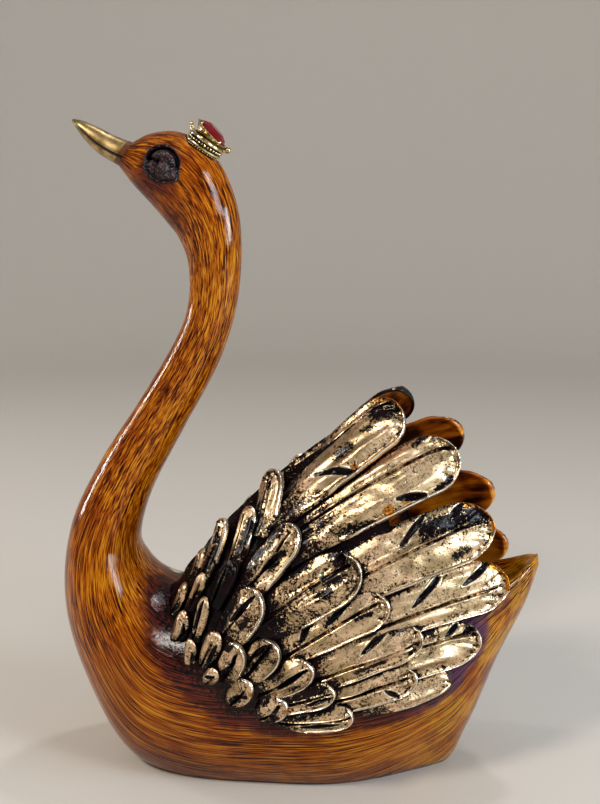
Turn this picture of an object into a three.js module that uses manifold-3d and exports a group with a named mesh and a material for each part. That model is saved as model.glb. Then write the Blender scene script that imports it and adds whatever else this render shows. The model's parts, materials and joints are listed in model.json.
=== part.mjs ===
// Swan ornament: a lacquered resin swan with raised wings of carved feathers, cast in one piece,
// with a small cast-metal crown and a red cut stone fastened to the back of its head.
// Millimetres, +Z up, head towards -X. The origin is on the flat underside, below the body's middle.
import * as THREE from "three";
import { mergeVertices } from "three/addons/utils/BufferGeometryUtils.js";
import Module from "manifold-3d";

const wasm = await Module();
wasm.setup();

// Driving dimensions
const RING_SIDES = 17; // facets round the body and neck
const BODY_STEPS = 2; // rings between two body stations
const SHELL_THICKNESS = 4.2; // wall of the wing under its feathers
const SHELL_FOOT = 9; // how much thicker that wall is where it runs into the hull
const SHELL_SINK = 0.4; // how far the wing wall lies under the feathers' own surface, at the tips
const SHELL_SWELL = 1.8; // how much further out it stands under the small front feathers
const FEATHER_THICKNESS = 3.2;
const FEATHER_ROLL = 0.13; // lower edge raised over the next feather, as a slope
const FAR_WING_SET_BACK = 3.0; // the far wing was set a little further back by hand
const FINEST_DETAIL = 0.2; // smaller steps in the surface are lost in the casting
const SEAT_CLEARANCE = 0.35; // gap between the crown, the stone and what holds them

// Body stations, from the bill's root over the head, down the neck, round the breast and back to the tail.
// outer: throat, front of neck, breast, keel and stern. inner: crown of head, nape, saddle and back.
// half: half the width. high: how far above the middle the widest place lies. square: how boxy the top is,
// and vee how the bottom is, from 2, round, down to 1, a V. sag: how deep the hollow of the back is.
const STATIONS = [
  { outer: [-56.3, 208.8], inner: [-51.2, 217.0], half: 4.7 },
  { outer: [-51.8, 203.0], inner: [-45.5, 219.6], half: 8.0 },
  { outer: [-46.2, 197.0], inner: [-37.0, 220.2], half: 10.0 },
  { outer: [-41.0, 191.0], inner: [-28.3, 216.4], half: 10.7 },
  { outer: [-36.6, 185.0], inner: [-20.8, 206.5], half: 10.3 },
  { outer: [-33.8, 176.5], inner: [-16.2, 190.0], half: 9.4 },
  { outer: [-34.2, 163.5], inner: [-17.2, 166.0], half: 8.5 },
  { outer: [-38.9, 151.0], inner: [-23.8, 144.0], half: 8.5 },
  { outer: [-51.7, 130.0], inner: [-37.0, 119.5], half: 9.2 },
  { outer: [-66.2, 108.0], inner: [-48.2, 98.0], half: 11.5 },
  { outer: [-77.0, 85.5], inner: [-53.0, 81.0], half: 16.0 },
  { outer: [-79.8, 60.0], inner: [-50.5, 72.5], half: 22.5, high: 0.05 },
  { outer: [-73.8, 34.0], inner: [-45.0, 67.0], half: 27.5, high: 0.08 },
  { outer: [-59.0, 4.0], inner: [-37.0, 64.0], half: 31.5, high: 0.12, square: 2.3 },
  { outer: [-38.0, -8.0], inner: [-24.0, 61.5], half: 34.5, high: 0.18, square: 2.8, sag: 1 },
  { outer: [-8.0, -10.0], inner: [-4.0, 61.0], half: 36.0, high: 0.2, square: 3.2, sag: 3 },
  { outer: [22.0, -9.0], inner: [22.0, 62.0], half: 34.0, high: 0.2, square: 3.6, sag: 4 },
  { outer: [53.0, -3.0], inner: [47.0, 66.0], half: 27.5, high: 0.2, square: 3.8, vee: 1.3, sag: 5 },
  { outer: [63.5, 15.0], inner: [63.0, 70.0], half: 21.5, high: 0.25, square: 3.8, vee: 1.6, sag: 6 },
  { outer: [72.6, 40.0], inner: [75.5, 74.0], half: 14.0, high: 0.3, square: 3.4, vee: 1.8, sag: 4 },
  { outer: [81.8, 60.5], inner: [83.0, 77.5], half: 6.5, high: 0.3, square: 2.8, sag: 1.5 },
  { outer: [86.2, 74.5], inner: [85.6, 78.4], half: 1.4, square: 2.0 },
];

// Bill stations, from inside the head to the tip, in the same terms.
const BILL = [
  { outer: [-52.5, 207.0], inner: [-47.8, 216.0], half: 4.2 },
  { outer: [-57.4, 209.6], inner: [-52.6, 217.0], half: 4.6 },
  { outer: [-63.0, 212.9], inner: [-57.8, 218.9], half: 4.2 },
  { outer: [-67.0, 216.7], inner: [-63.0, 221.5], half: 3.7 },
  { outer: [-70.2, 220.9], inner: [-67.8, 223.5], half: 2.7 },
  { outer: [-71.9, 223.7], inner: [-71.3, 224.3], half: 0.9 },
];

// The near wing's outer surface: three curves across the wing, each from its leading edge down to the hull.
const WING_ACROSS = [
  [[-37, -5, 69], [-33, -23, 62], [-26, -31, 49], [-13, -34, 34]], // shoulder
  [[-2, -8, 111], [12, -29, 97], [18, -38, 72], [19, -37, 35]], // middle
  [[36, -10, 133], [63, -17, 109.5], [74, -18, 76], [56, -26, 47]], // tips
];
const SHELL = { along: [-0.13, 0.7], across: [0.05, 1.02] }; // what the wing's wall covers

// Feathers in groups, back to front. A blade lies on the wing's surface from its root to its tip, each
// [along, across], and is so many millimetres wide. layer lifts a group over the last, and lift its tips more.
const FEATHERS = [
  {
    layer: 0.4, lift: 0.8, steps: 5, sides: 6,
    blades: [
      { root: [0.36, 0.21], tip: [0.99, 0.03], width: 20 },
      { root: [0.37, 0.38], tip: [1.0, 0.24], width: 20 },
      { root: [0.42, 0.63], tip: [0.98, 0.483], width: 20 },
      { root: [0.46, 0.77], tip: [1.0, 0.68], width: 18 },
      { root: [0.56, 0.91], tip: [0.98, 0.87], width: 16 },
      { root: [0.6, 0.99], tip: [1.03, 1.02], width: 12 },
    ],
  },
  {
    layer: 1.6, lift: 1.3, steps: 4, sides: 6,
    blades: [
      { root: [0.31, 0.26], tip: [0.46, 0.03], width: 12 },
      { root: [0.2, 0.34], tip: [0.33, 0.11], width: 8.5 },
      { root: [0.2, 0.5], tip: [0.44, 0.32], width: 13.5 },
      { root: [0.24, 0.65], tip: [0.588, 0.545], width: 18.5 },
      { root: [0.26, 0.78], tip: [0.66, 0.69], width: 14 },
      { root: [0.33, 0.89], tip: [0.77, 0.81], width: 14.5 },
      { root: [0.4, 0.96], tip: [0.8, 0.94], width: 12.5 },
    ],
  },
  {
    layer: 2.0, lift: 2.0, steps: 4, sides: 5,
    blades: [
      { root: [0.1, 0.27], tip: [0.24, 0.07], width: 9.5 },
      { root: [0.12, 0.45], tip: [0.23, 0.32], width: 8 },
      { root: [0.11, 0.65], tip: [0.285, 0.51], width: 14.5 },
      { root: [0.13, 0.83], tip: [0.305, 0.727], width: 12 },
      { root: [0.17, 0.89], tip: [0.415, 0.833], width: 12 },
      { root: [0.17, 0.95], tip: [0.49, 0.92], width: 10 },
      { root: [0.22, 1.0], tip: [0.57, 1.0], width: 10 },
    ],
  },
  {
    layer: 1.6, lift: 2.0, steps: 4, sides: 5,
    blades: [
      { root: [0.05, 0.22], tip: [0.14, 0.12], width: 6 },
      { root: [0.03, 0.36], tip: [0.12, 0.26], width: 6 },
      { root: [0.02, 0.55], tip: [0.11, 0.39], width: 6 },
      { root: [-0.05, 0.46], tip: [0.03, 0.38], width: 8 },
      { root: [-0.06, 0.68], tip: [0.02, 0.54], width: 6 },
      { root: [0.0, 0.7], tip: [0.12, 0.59], width: 7.5 },
      { root: [0.04, 0.82], tip: [0.18, 0.68], width: 11 },
      { root: [-0.04, 0.79], tip: [0.06, 0.75], width: 6 },
      { root: [0.0, 0.94], tip: [0.17, 0.84], width: 9 },
      { root: [0.12, 1.0], tip: [0.29, 0.93], width: 9.5 },
      { root: [-0.03, 0.3], tip: [0.05, 0.22], width: 5.5 },
    ],
  },
];

// Crown and stone
const CROWN_CENTRE = [-28.9, 0, 214.3]; // middle of the ring's foot
const CROWN_TILT = 34.8; // degrees that the crown leans back from upright
const SETTING_TILT = 13; // degrees more that the stone's setting leans
const RING_RADIUS = 6.3;
const RING_WALL = 1.2;
const RING_HEIGHT = 4.2;
const CROWN_FACETS = 12;
const SETTING_HEIGHT = 6.6; // ring's foot to the middle of the setting's rim
const SETTING_SHIFT = 0.6; // how far the setting lies towards the bill from the ring's middle
const SETTING_RADIUS = 6.4;
const SETTING_WAIST = 4.2; // radius where the setting leaves the ring
const SETTING_WALL = 0.6;
const STONE_RISE = 1.9; // rim to the stone's flat top
// The two points left on the ring's rim, each a stem with a ball: where it stands round the ring from the
// nape, in degrees, how far out from the ring and up from its rim the ball lies, and the ball's radius.
const POINTS = [
  { turn: 180, out: 1.1, up: 1.1, ball: 0.6 },
  { turn: 0, out: 1.0, up: 0.6, ball: 1.1 },
];
const STEM_RADIUS = 0.45;

// Eye: a raised lid ring round a domed eyeball, on both sides of the head
const EYE_CENTRE = [-40.2, 9.4, 209.8];
const EYE_RADIUS = 4.6;
const LID_RADIUS = 1.3;

// Shapes

// Catmull-Rom through a list of numbers; t runs from 0 to the last index.
function spline(values, t) {
  const last = values.length - 1;
  const i = Math.min(Math.floor(t), last - 1);
  const f = t - i;
  const [b, c] = [values[i], values[i + 1]];
  const a = i > 0 ? values[i - 1] : 2 * b - c;
  const d = i + 2 <= last ? values[i + 2] : 2 * c - b;
  const [square, cube] = [2 * a - 5 * b + 4 * c - d, 3 * b - a - 3 * c + d];
  return 0.5 * (2 * b + (c - a) * f + square * f * f + cube * f * f * f);
}

// One closed cross-section of the body or bill at place t along its stations.
function crossSection(stations, t, sides) {
  const at = (pick) => spline(stations.map(pick), t);
  const outer = [at((s) => s.outer[0]), at((s) => s.outer[1])];
  const inner = [at((s) => s.inner[0]), at((s) => s.inner[1])];
  const half = at((s) => s.half);
  const high = at((s) => s.high ?? 0);
  const square = at((s) => s.square ?? 2);
  const vee = at((s) => s.vee ?? 2);
  const sag = at((s) => s.sag ?? 0);
  const span = Math.hypot(inner[0] - outer[0], inner[1] - outer[1]);
  const points = [];
  for (let k = 0; k < sides; k++) {
    const angle = (2 * Math.PI * k) / sides;
    const [c, s] = [-Math.cos(angle), Math.sin(angle)];
    const power = 2 / (c > 0 ? square : vee);
    const up = Math.sign(c) * Math.abs(c) ** power;
    const out = Math.sign(s) * Math.abs(s) ** power;
    const share = (1 + up + high * (1 - up * up)) / 2 - (sag / span) * Math.max(0, up) * (1 - out * out) ** 2;
    points.push([
      outer[0] + (inner[0] - outer[0]) * share,
      -half * out,
      outer[1] + (inner[1] - outer[1]) * share,
    ]);
  }
  return points;
}

// A closed solid from rings of equally many points, with each end closed by a fan round its middle.
function loft(rings) {
  const sides = rings[0].length;
  const flat = rings.flat();
  const faces = [];
  for (let r = 0; r + 1 < rings.length; r++)
    for (let k = 0; k < sides; k++) {
      const [a, b] = [r * sides + k, r * sides + ((k + 1) % sides)];
      faces.push([a, b, b + sides], [a, b + sides, a + sides]);
    }
  for (const [r, flip] of [[0, true], [rings.length - 1, false]]) {
    const middle = flat.length;
    flat.push([0, 1, 2].map((i) => rings[r].reduce((sum, p) => sum + p[i], 0) / sides));
    for (let k = 0; k < sides; k++) {
      const [a, b] = [r * sides + k, r * sides + ((k + 1) % sides)];
      faces.push(flip ? [b, a, middle] : [a, b, middle]);
    }
  }
  const geometry = new THREE.BufferGeometry();
  geometry.setAttribute("position", new THREE.Float32BufferAttribute(flat.flat(), 3));
  geometry.setIndex(faces.flat());
  return geometry;
}

// A three.js geometry as a manifold solid, facing out whichever way its rings ran.
function solid(geometry) {
  const bare = geometry.clone();
  bare.deleteAttribute("normal");
  bare.deleteAttribute("uv");
  const merged = mergeVertices(bare, 1e-4);
  const vertProperties = new Float32Array(merged.attributes.position.array);
  const triVerts = new Uint32Array(merged.index.array);
  const made = new wasm.Manifold(new wasm.Mesh({ numProp: 3, vertProperties, triVerts }));
  if (made.volume() > 0) return made;
  for (let i = 0; i < triVerts.length; i += 3)
    [triVerts[i + 1], triVerts[i + 2]] = [triVerts[i + 2], triVerts[i + 1]];
  return new wasm.Manifold(new wasm.Mesh({ numProp: 3, vertProperties, triVerts }));
}

function geometryOf(manifold) {
  const mesh = manifold.getMesh();
  const positions = [];
  for (let v = 0; v < mesh.numVert; v++)
    positions.push(...mesh.vertProperties.subarray(v * mesh.numProp, v * mesh.numProp + 3));
  const geometry = new THREE.BufferGeometry();
  geometry.setAttribute("position", new THREE.Float32BufferAttribute(positions, 3));
  geometry.setIndex([...mesh.triVerts]);
  return geometry;
}

const unionOf = (solids) => solids.reduce((sum, next) => sum.add(next));

// The casting is solid, so a pocket that closes up between two feathers is filled,
// and slivers finer than the casting could show are smoothed away.
function asCast(manifold) {
  const shells = manifold.simplify(FINEST_DETAIL).decompose();
  return unionOf(shells.filter((shell) => shell.volume() > 0));
}

// Body

function bodySolid(stations, steps, sides) {
  const rings = [];
  const count = (stations.length - 1) * steps;
  for (let i = 0; i <= count; i++) rings.push(crossSection(stations, i / steps, sides));
  return solid(loft(rings));
}

// Everything below the surface that the swan stands on, taken off to leave a flat underside.
function groundBlock() {
  return solid(new THREE.BoxGeometry(400, 400, 100).translate(0, 0, -50));
}

// Wing

// The polynomial weights that carry a curve through n equally spaced points.
function weights(t, n) {
  const out = [];
  for (let i = 0; i < n; i++) {
    let w = 1;
    for (let j = 0; j < n; j++) if (j !== i) w *= (t * (n - 1) - j) / (i - j);
    out.push(w);
  }
  return out;
}

function wingPoint(along, across) {
  const point = new THREE.Vector3();
  const rows = weights(along, 3);
  const columns = weights(across, 4);
  for (let i = 0; i < 3; i++)
    for (let j = 0; j < 4; j++)
      point.addScaledVector(new THREE.Vector3(...WING_ACROSS[i][j]), rows[i] * columns[j]);
  return point;
}

// The wing surface's outward direction.
function wingNormal(along, across) {
  const step = 0.01;
  const a = wingPoint(along + step, across).sub(wingPoint(along - step, across));
  const b = wingPoint(along, across + step).sub(wingPoint(along, across - step));
  return b.cross(a).normalize();
}

// The wall under the feathers, a curved plate that runs down into the hull. In front of the wing's
// first curve it keeps that curve's outward direction.
function wingShell() {
  const [columns, rows] = [6, 6];
  const rings = [];
  for (let i = 0; i <= columns; i++) {
    const along = THREE.MathUtils.lerp(...SHELL.along, i / columns);
    const swell = SHELL_SWELL * THREE.MathUtils.smoothstep(-along, -0.5, -0.15);
    const [outside, inside] = [[], []];
    for (let j = 0; j <= rows; j++) {
      const across = THREE.MathUtils.lerp(...SHELL.across, j / rows);
      const place = wingPoint(along, across);
      const normal = wingNormal(Math.max(0, along), across);
      const rise = swell * (1 - 1.6 * Math.max(0, across) ** 6) - SHELL_SINK;
      outside.push(place.clone().addScaledVector(normal, rise).toArray());
      const depth = SHELL_SINK + SHELL_THICKNESS + SHELL_FOOT * Math.max(0, across) ** 4;
      inside.push(place.clone().addScaledVector(normal, -depth).toArray());
    }
    rings.push([...outside, ...inside.reverse()]);
  }
  return solid(loft(rings));
}

// How wide a feather is at share u of its length: narrow root, full middle, round tip.
function featherOutline(u, roundness) {
  const body = 0.72 + 0.28 * Math.sin((Math.min(u, 0.6) / 0.6) * (Math.PI / 2));
  const past = Math.max(0, (u - 1 + roundness) / roundness);
  return body * Math.sqrt(Math.max(0, 1 - past * past));
}

// One feather: a cupped blade that follows the wing's surface from root to tip.
function feather(group, { root, tip, width }) {
  const length = wingPoint(...root).distanceTo(wingPoint(...tip));
  const roundness = Math.min(0.6, (0.62 * width) / length);
  const at = (u) => [0, 1].map((i) => THREE.MathUtils.lerp(root[i], tip[i], u));
  const rings = [];
  for (let i = 0; i < group.steps; i++) {
    const u = 1 - (1 - i / (group.steps - 0.6)) ** 1.6;
    const normal = wingNormal(...at(u));
    const forward = wingPoint(...at(u + 0.01)).sub(wingPoint(...at(u))).normalize();
    const side = forward.clone().cross(normal).normalize(); // towards the lower edge
    const centre = wingPoint(...at(u)).addScaledVector(normal, group.layer + group.lift * u * u);
    const half = (width / 2) * featherOutline(u, roundness);
    const ring = [];
    for (let k = 0; k < group.sides; k++) {
      const angle = (2 * Math.PI * k) / group.sides;
      const [b, h] = [Math.cos(angle), Math.sin(angle)];
      const arch = -0.16 * half * b * b; // the edges bend in towards the wing
      const thick = (FEATHER_THICKNESS / 2) * Math.min(1, half / 4) * h;
      ring.push(
        centre.clone()
          .addScaledVector(side, half * b)
          .addScaledVector(normal, thick + arch + FEATHER_ROLL * half * b)
          .toArray(),
      );
    }
    rings.push(ring);
  }
  return solid(loft(rings));
}

function nearWing() {
  const feathers = FEATHERS.flatMap((group) => group.blades.map((blade) => feather(group, blade)));
  return unionOf([wingShell(), ...feathers]);
}

// Head details

function eye(side) {
  const dome = new THREE.SphereGeometry(EYE_RADIUS, 9, 4).scale(1, 0.42, 1);
  const lid = new THREE.TorusGeometry(EYE_RADIUS, LID_RADIUS, 5, 10).rotateX(Math.PI / 2).scale(1.12, 1, 0.95);
  const [x, y, z] = EYE_CENTRE;
  const place = new THREE.Matrix4().makeTranslation(x, side * y, z);
  return [dome, lid].map((shape) => solid(shape.applyMatrix4(place)));
}

// The crown's own frame: its foot on XY, its axis along Z.
function crownPlace() {
  return new THREE.Matrix4()
    .makeTranslation(...CROWN_CENTRE)
    .multiply(new THREE.Matrix4().makeRotationY(THREE.MathUtils.degToRad(CROWN_TILT)));
}

function settingPlace() {
  return new THREE.Matrix4()
    .makeTranslation(-SETTING_SHIFT, 0, SETTING_HEIGHT / 2)
    .multiply(new THREE.Matrix4().makeRotationY(THREE.MathUtils.degToRad(SETTING_TILT)));
}

function turned(profile, segments) {
  const points = profile.map(([r, h]) => new THREE.Vector2(r, h));
  return new THREE.LatheGeometry(points, segments).rotateX(Math.PI / 2);
}

// A straight rod between two places.
function rod(from, to, radius) {
  const axis = to.clone().sub(from);
  const up = new THREE.Vector3(0, 1, 0);
  const turn = new THREE.Quaternion().setFromUnitVectors(up, axis.clone().normalize());
  const middle = from.clone().addScaledVector(axis, 0.5);
  const cylinder = new THREE.CylinderGeometry(radius, radius, axis.length(), 5);
  return cylinder.applyQuaternion(turn).translate(...middle);
}

function crownSolid() {
  const [R, r, H] = [RING_RADIUS, RING_RADIUS - RING_WALL, RING_HEIGHT];
  const half = SETTING_HEIGHT / 2;
  const floor = H - 1.4;
  // Ring with a floor near its top and a raised band at its foot and its rim.
  const ring = turned(
    [[0, floor - 0.9], [r, floor - 0.9], [r, 0], [R, 0], [R + 0.3, 0.9], [R, 1.6], [R, H - 1.2],
      [R + 0.35, H - 0.6], [R, H], [r, H], [r, floor], [0, floor], [0, floor - 0.9]],
    CROWN_FACETS,
  );
  // Setting: a flared cup that holds the stone.
  const cup = turned(
    [[0, -0.6], [SETTING_WAIST, -0.6], [SETTING_RADIUS, half], [SETTING_RADIUS - SETTING_WALL, half],
      [SETTING_WAIST - SETTING_WALL, 0.4], [0, 0.4], [0, -0.6]],
    CROWN_FACETS,
  ).applyMatrix4(settingPlace());
  const parts = [solid(ring), solid(cup)];
  for (const { turn, out, up, ball } of POINTS) {
    const foot = new THREE.Vector3(R - 0.3, 0, H - 0.5);
    const tip = new THREE.Vector3(R + out, 0, H + up);
    const shapes = [rod(foot, tip, STEM_RADIUS), new THREE.SphereGeometry(ball, 6, 4).translate(...tip)];
    parts.push(...shapes.map((shape) => solid(shape.rotateZ(THREE.MathUtils.degToRad(turn)))));
  }
  return unionOf(parts).transform(crownPlace().elements);
}

// The stone: a round cut with a flat table, resting in the setting's cup.
function stoneGeometry() {
  const half = SETTING_HEIGHT / 2;
  const foot = 0.4 + SEAT_CLEARANCE;
  const girdle = SETTING_RADIUS - SETTING_WALL - SEAT_CLEARANCE;
  const profile = [[0, foot], [SETTING_WAIST - SETTING_WALL - SEAT_CLEARANCE, foot], [girdle, half],
    [girdle, half + 0.3], [2.4, half + STONE_RISE], [0, half + STONE_RISE], [0, foot]];
  return turned(profile, 8).applyMatrix4(settingPlace()).applyMatrix4(crownPlace());
}

// The round flat-bottomed seat that the crown's ring stands in.
function crownSeat() {
  const depth = 12;
  const radius = RING_RADIUS + 0.3 + SEAT_CLEARANCE;
  const seat = new THREE.CylinderGeometry(radius, radius, depth, CROWN_FACETS);
  const upright = seat.rotateX(Math.PI / 2).translate(0, 0, depth / 2 - SEAT_CLEARANCE);
  return solid(upright.applyMatrix4(crownPlace()));
}

function swanSolid() {
  const body = bodySolid(STATIONS, BODY_STEPS, RING_SIDES).subtract(groundBlock());
  const near = nearWing();
  const far = near.mirror([0, 1, 0]).translate([FAR_WING_SET_BACK, 0, 0]);
  const bill = bodySolid(BILL, 2, 10);
  const whole = unionOf([body, near, far, bill, ...eye(-1), ...eye(1)]);
  return asCast(whole.subtract(groundBlock()).subtract(crownSeat()));
}

// Materials
const lacquer = new THREE.MeshStandardMaterial({ color: 0x8a4a12, roughness: 0.25, metalness: 0.0 });
const crownMetal = new THREE.MeshStandardMaterial({ color: 0xb39a5a, roughness: 0.3, metalness: 1.0 });
const redStone = new THREE.MeshStandardMaterial({ color: 0xa01222, roughness: 0.08, metalness: 0.0 });

function piece(name, geometry, material) {
  const mesh = new THREE.Mesh(geometry, material);
  mesh.name = name;
  return mesh;
}

const ornament = new THREE.Group();
ornament.add(
  piece("swan", geometryOf(swanSolid()), lacquer),
  piece("crown", geometryOf(crownSolid()), crownMetal),
  piece("crown_stone", stoneGeometry(), redStone),
);

export default ornament;
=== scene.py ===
# Swan ornament: a lacquered casting with gilt, blackened feathers, and a small crown with a red stone.
# Sizes are in millimetres, as in the part's source, and become metres when a mesh is made.
import json
import math

import bmesh
import bpy
import numpy as np
from mathutils import Matrix, Vector
from mathutils.bvhtree import BVHTree

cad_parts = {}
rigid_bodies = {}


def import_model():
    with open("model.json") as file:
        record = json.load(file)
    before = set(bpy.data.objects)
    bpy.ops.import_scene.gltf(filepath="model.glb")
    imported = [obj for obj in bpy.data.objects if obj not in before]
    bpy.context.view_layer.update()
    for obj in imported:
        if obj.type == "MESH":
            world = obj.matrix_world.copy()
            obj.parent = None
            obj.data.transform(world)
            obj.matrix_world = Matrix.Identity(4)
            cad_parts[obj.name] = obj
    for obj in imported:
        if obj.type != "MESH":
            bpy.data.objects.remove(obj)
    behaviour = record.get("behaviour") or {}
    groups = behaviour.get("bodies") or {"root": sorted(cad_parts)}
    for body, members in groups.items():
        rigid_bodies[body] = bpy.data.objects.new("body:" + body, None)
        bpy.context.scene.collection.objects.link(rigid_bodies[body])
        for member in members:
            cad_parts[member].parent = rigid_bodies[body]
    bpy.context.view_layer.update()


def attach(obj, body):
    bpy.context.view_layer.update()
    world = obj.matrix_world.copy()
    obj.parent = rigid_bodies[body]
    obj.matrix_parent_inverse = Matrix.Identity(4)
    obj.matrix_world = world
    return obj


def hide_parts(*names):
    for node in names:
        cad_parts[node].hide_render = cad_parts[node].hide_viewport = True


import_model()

MM = 0.001

# Driving dimensions

BODY_SIDES = 88
BODY_STEPS = 9
BILL_SIDES = 48
BILL_STEPS = 10

# Body stations, from the bill's root over the head, down the neck, round the breast, back to the tail:
# outer x, z (throat, breast, keel), inner x, z (nape, back), half width, high, square, vee, sag.
STATIONS = (
    (-56.3, 208.8, -51.2, 217.0, 4.7, 0, 2, 2, 0),
    (-51.8, 203.0, -45.5, 219.6, 8.0, 0, 2, 2, 0),
    (-46.2, 197.0, -37.0, 220.2, 10.0, 0, 2, 2, 0),
    (-41.0, 191.0, -28.3, 216.4, 10.7, 0, 2, 2, 0),
    (-36.6, 185.0, -20.8, 206.5, 10.3, 0, 2, 2, 0),
    (-33.8, 176.5, -16.2, 190.0, 9.4, 0, 2, 2, 0),
    (-34.2, 163.5, -17.2, 166.0, 8.5, 0, 2, 2, 0),
    (-38.9, 151.0, -23.8, 144.0, 8.5, 0, 2, 2, 0),
    (-51.7, 130.0, -37.0, 119.5, 9.2, 0, 2, 2, 0),
    (-66.2, 108.0, -48.2, 98.0, 11.5, 0, 2, 2, 0),
    (-77.0, 85.5, -53.0, 81.0, 16.0, 0, 2, 2, 0),
    (-79.8, 60.0, -50.5, 72.5, 22.5, 0.05, 2, 2, 0),
    (-73.8, 34.0, -45.0, 67.0, 27.5, 0.08, 2, 2, 0),
    (-59.0, 4.0, -37.0, 64.0, 31.5, 0.12, 2.3, 2, 0),
    (-38.0, -8.0, -24.0, 61.5, 34.5, 0.18, 2.8, 2, 1),
    (-8.0, -10.0, -4.0, 61.0, 36.0, 0.2, 3.2, 2, 3),
    (22.0, -9.0, 22.0, 62.0, 34.0, 0.2, 3.6, 2, 4),
    (53.0, -3.0, 47.0, 66.0, 27.5, 0.2, 3.8, 1.3, 5),
    (63.5, 15.0, 63.0, 70.0, 21.5, 0.25, 3.8, 1.6, 6),
    (72.6, 40.0, 75.5, 74.0, 14.0, 0.3, 3.4, 1.8, 4),
    (81.8, 60.5, 83.0, 77.5, 6.5, 0.3, 2.8, 2, 1.5),
    (86.2, 74.5, 85.6, 78.4, 1.4, 0, 2, 2, 0),
)
BILL = (
    (-52.5, 207.0, -47.8, 216.0, 4.2, 0, 2, 2, 0),
    (-57.4, 209.6, -52.6, 217.0, 4.6, 0, 2, 2, 0),
    (-63.0, 212.9, -57.8, 218.9, 4.2, 0, 2, 2, 0),
    (-67.0, 216.7, -63.0, 221.5, 3.7, 0, 2, 2, 0),
    (-70.2, 220.9, -67.8, 223.5, 2.7, 0, 2, 2, 0),
    (-71.9, 223.7, -71.3, 224.3, 0.9, 0, 2, 2, 0),
)
MOUTH_AT = -0.3  # where the mouth line runs, from -1 at the chin to 1 at the ridge of the bill

# The near wing's outer surface: three curves across it, from the leading edge down to the hull.
WING_ACROSS = np.array(
    [
        [(-37, -5, 69), (-33, -23, 62), (-26, -31, 49), (-13, -34, 34)],
        [(-2, -8, 111), (12, -29, 97), (18, -38, 72), (19, -37, 35)],
        [(36, -10, 133), (63, -17, 109.5), (74, -18, 76), (56, -26, 47)],
    ],
    float,
)
WING_REACH = (90, 80)  # about how long the surface is along and across, for its texture
SHELL_GRID = (52, 38)  # steps of the wing's wall along and across
SHELL_ALONG = (-0.13, 0.7)
SHELL_ACROSS = (0.05, 1.02)
SHELL_SINK = 0.4
SHELL_SWELL = 1.8
SHELL_THICKNESS = 4.2
SHELL_FOOT = 9.0
SHELL_LUMPS = 0.45  # height of the rough ground between the small front feathers
FEATHER_THICKNESS = 3.2
FEATHER_ROLL = 0.13  # how much the lower edge is raised, as a slope
FEATHER_CUP = 0.16  # how much both sides bend down, as a share of the half width
GILT_EDGE = 0.16  # the gilt ends where the face's height falls below this share
BROAD = 11  # feathers wider than this carry the full number of flutes and barb cuts
FLUTES = (6, 2)
BARB_CUTS = (7, 2)
FANNED = 9  # feathers wider than this have grooves that fan in from the tip
FAN_GROOVES = 7
FAR_WING_SET_BACK = 3.0
# The far wing's steps along a feather, over it and under it, as shares of the near wing's. It shows
# the inside of its feathers, so they have more steps there.
FAR_WING_GRID = (0.8, 0.68, 1.6)
# How much farther across the far wing's front feathers end, to stay hidden by the near wing. They are
# those whose tips lie less far along than FRONT_TIPS.
FAR_TIPS_LOWER = 0.09
FRONT_TIPS = 0.5


def blade(root, tip, width, quill=(-0.1, -0.1), slits=(), stains=(), rust=(), amber=False, black=0.0,
          far_rim=0.25):
    """One feather. root and tip are places on the wing's surface, each (along, across). What is carved
    in it or stains it is placed by u, from 0 at the root to 1 at the tip, and b, from -1 to 1 across:
    its quill's b at root and tip, slits and black stains from (u, b) to (u, b), a stain with its radius.
    far_rim is how black the rim of its inner face is on the far wing."""
    return dict(root=root, tip=tip, width=width, quill=quill, slits=slits, stains=stains, rust=rust,
                amber=amber, black=black, far_rim=far_rim)


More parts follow.
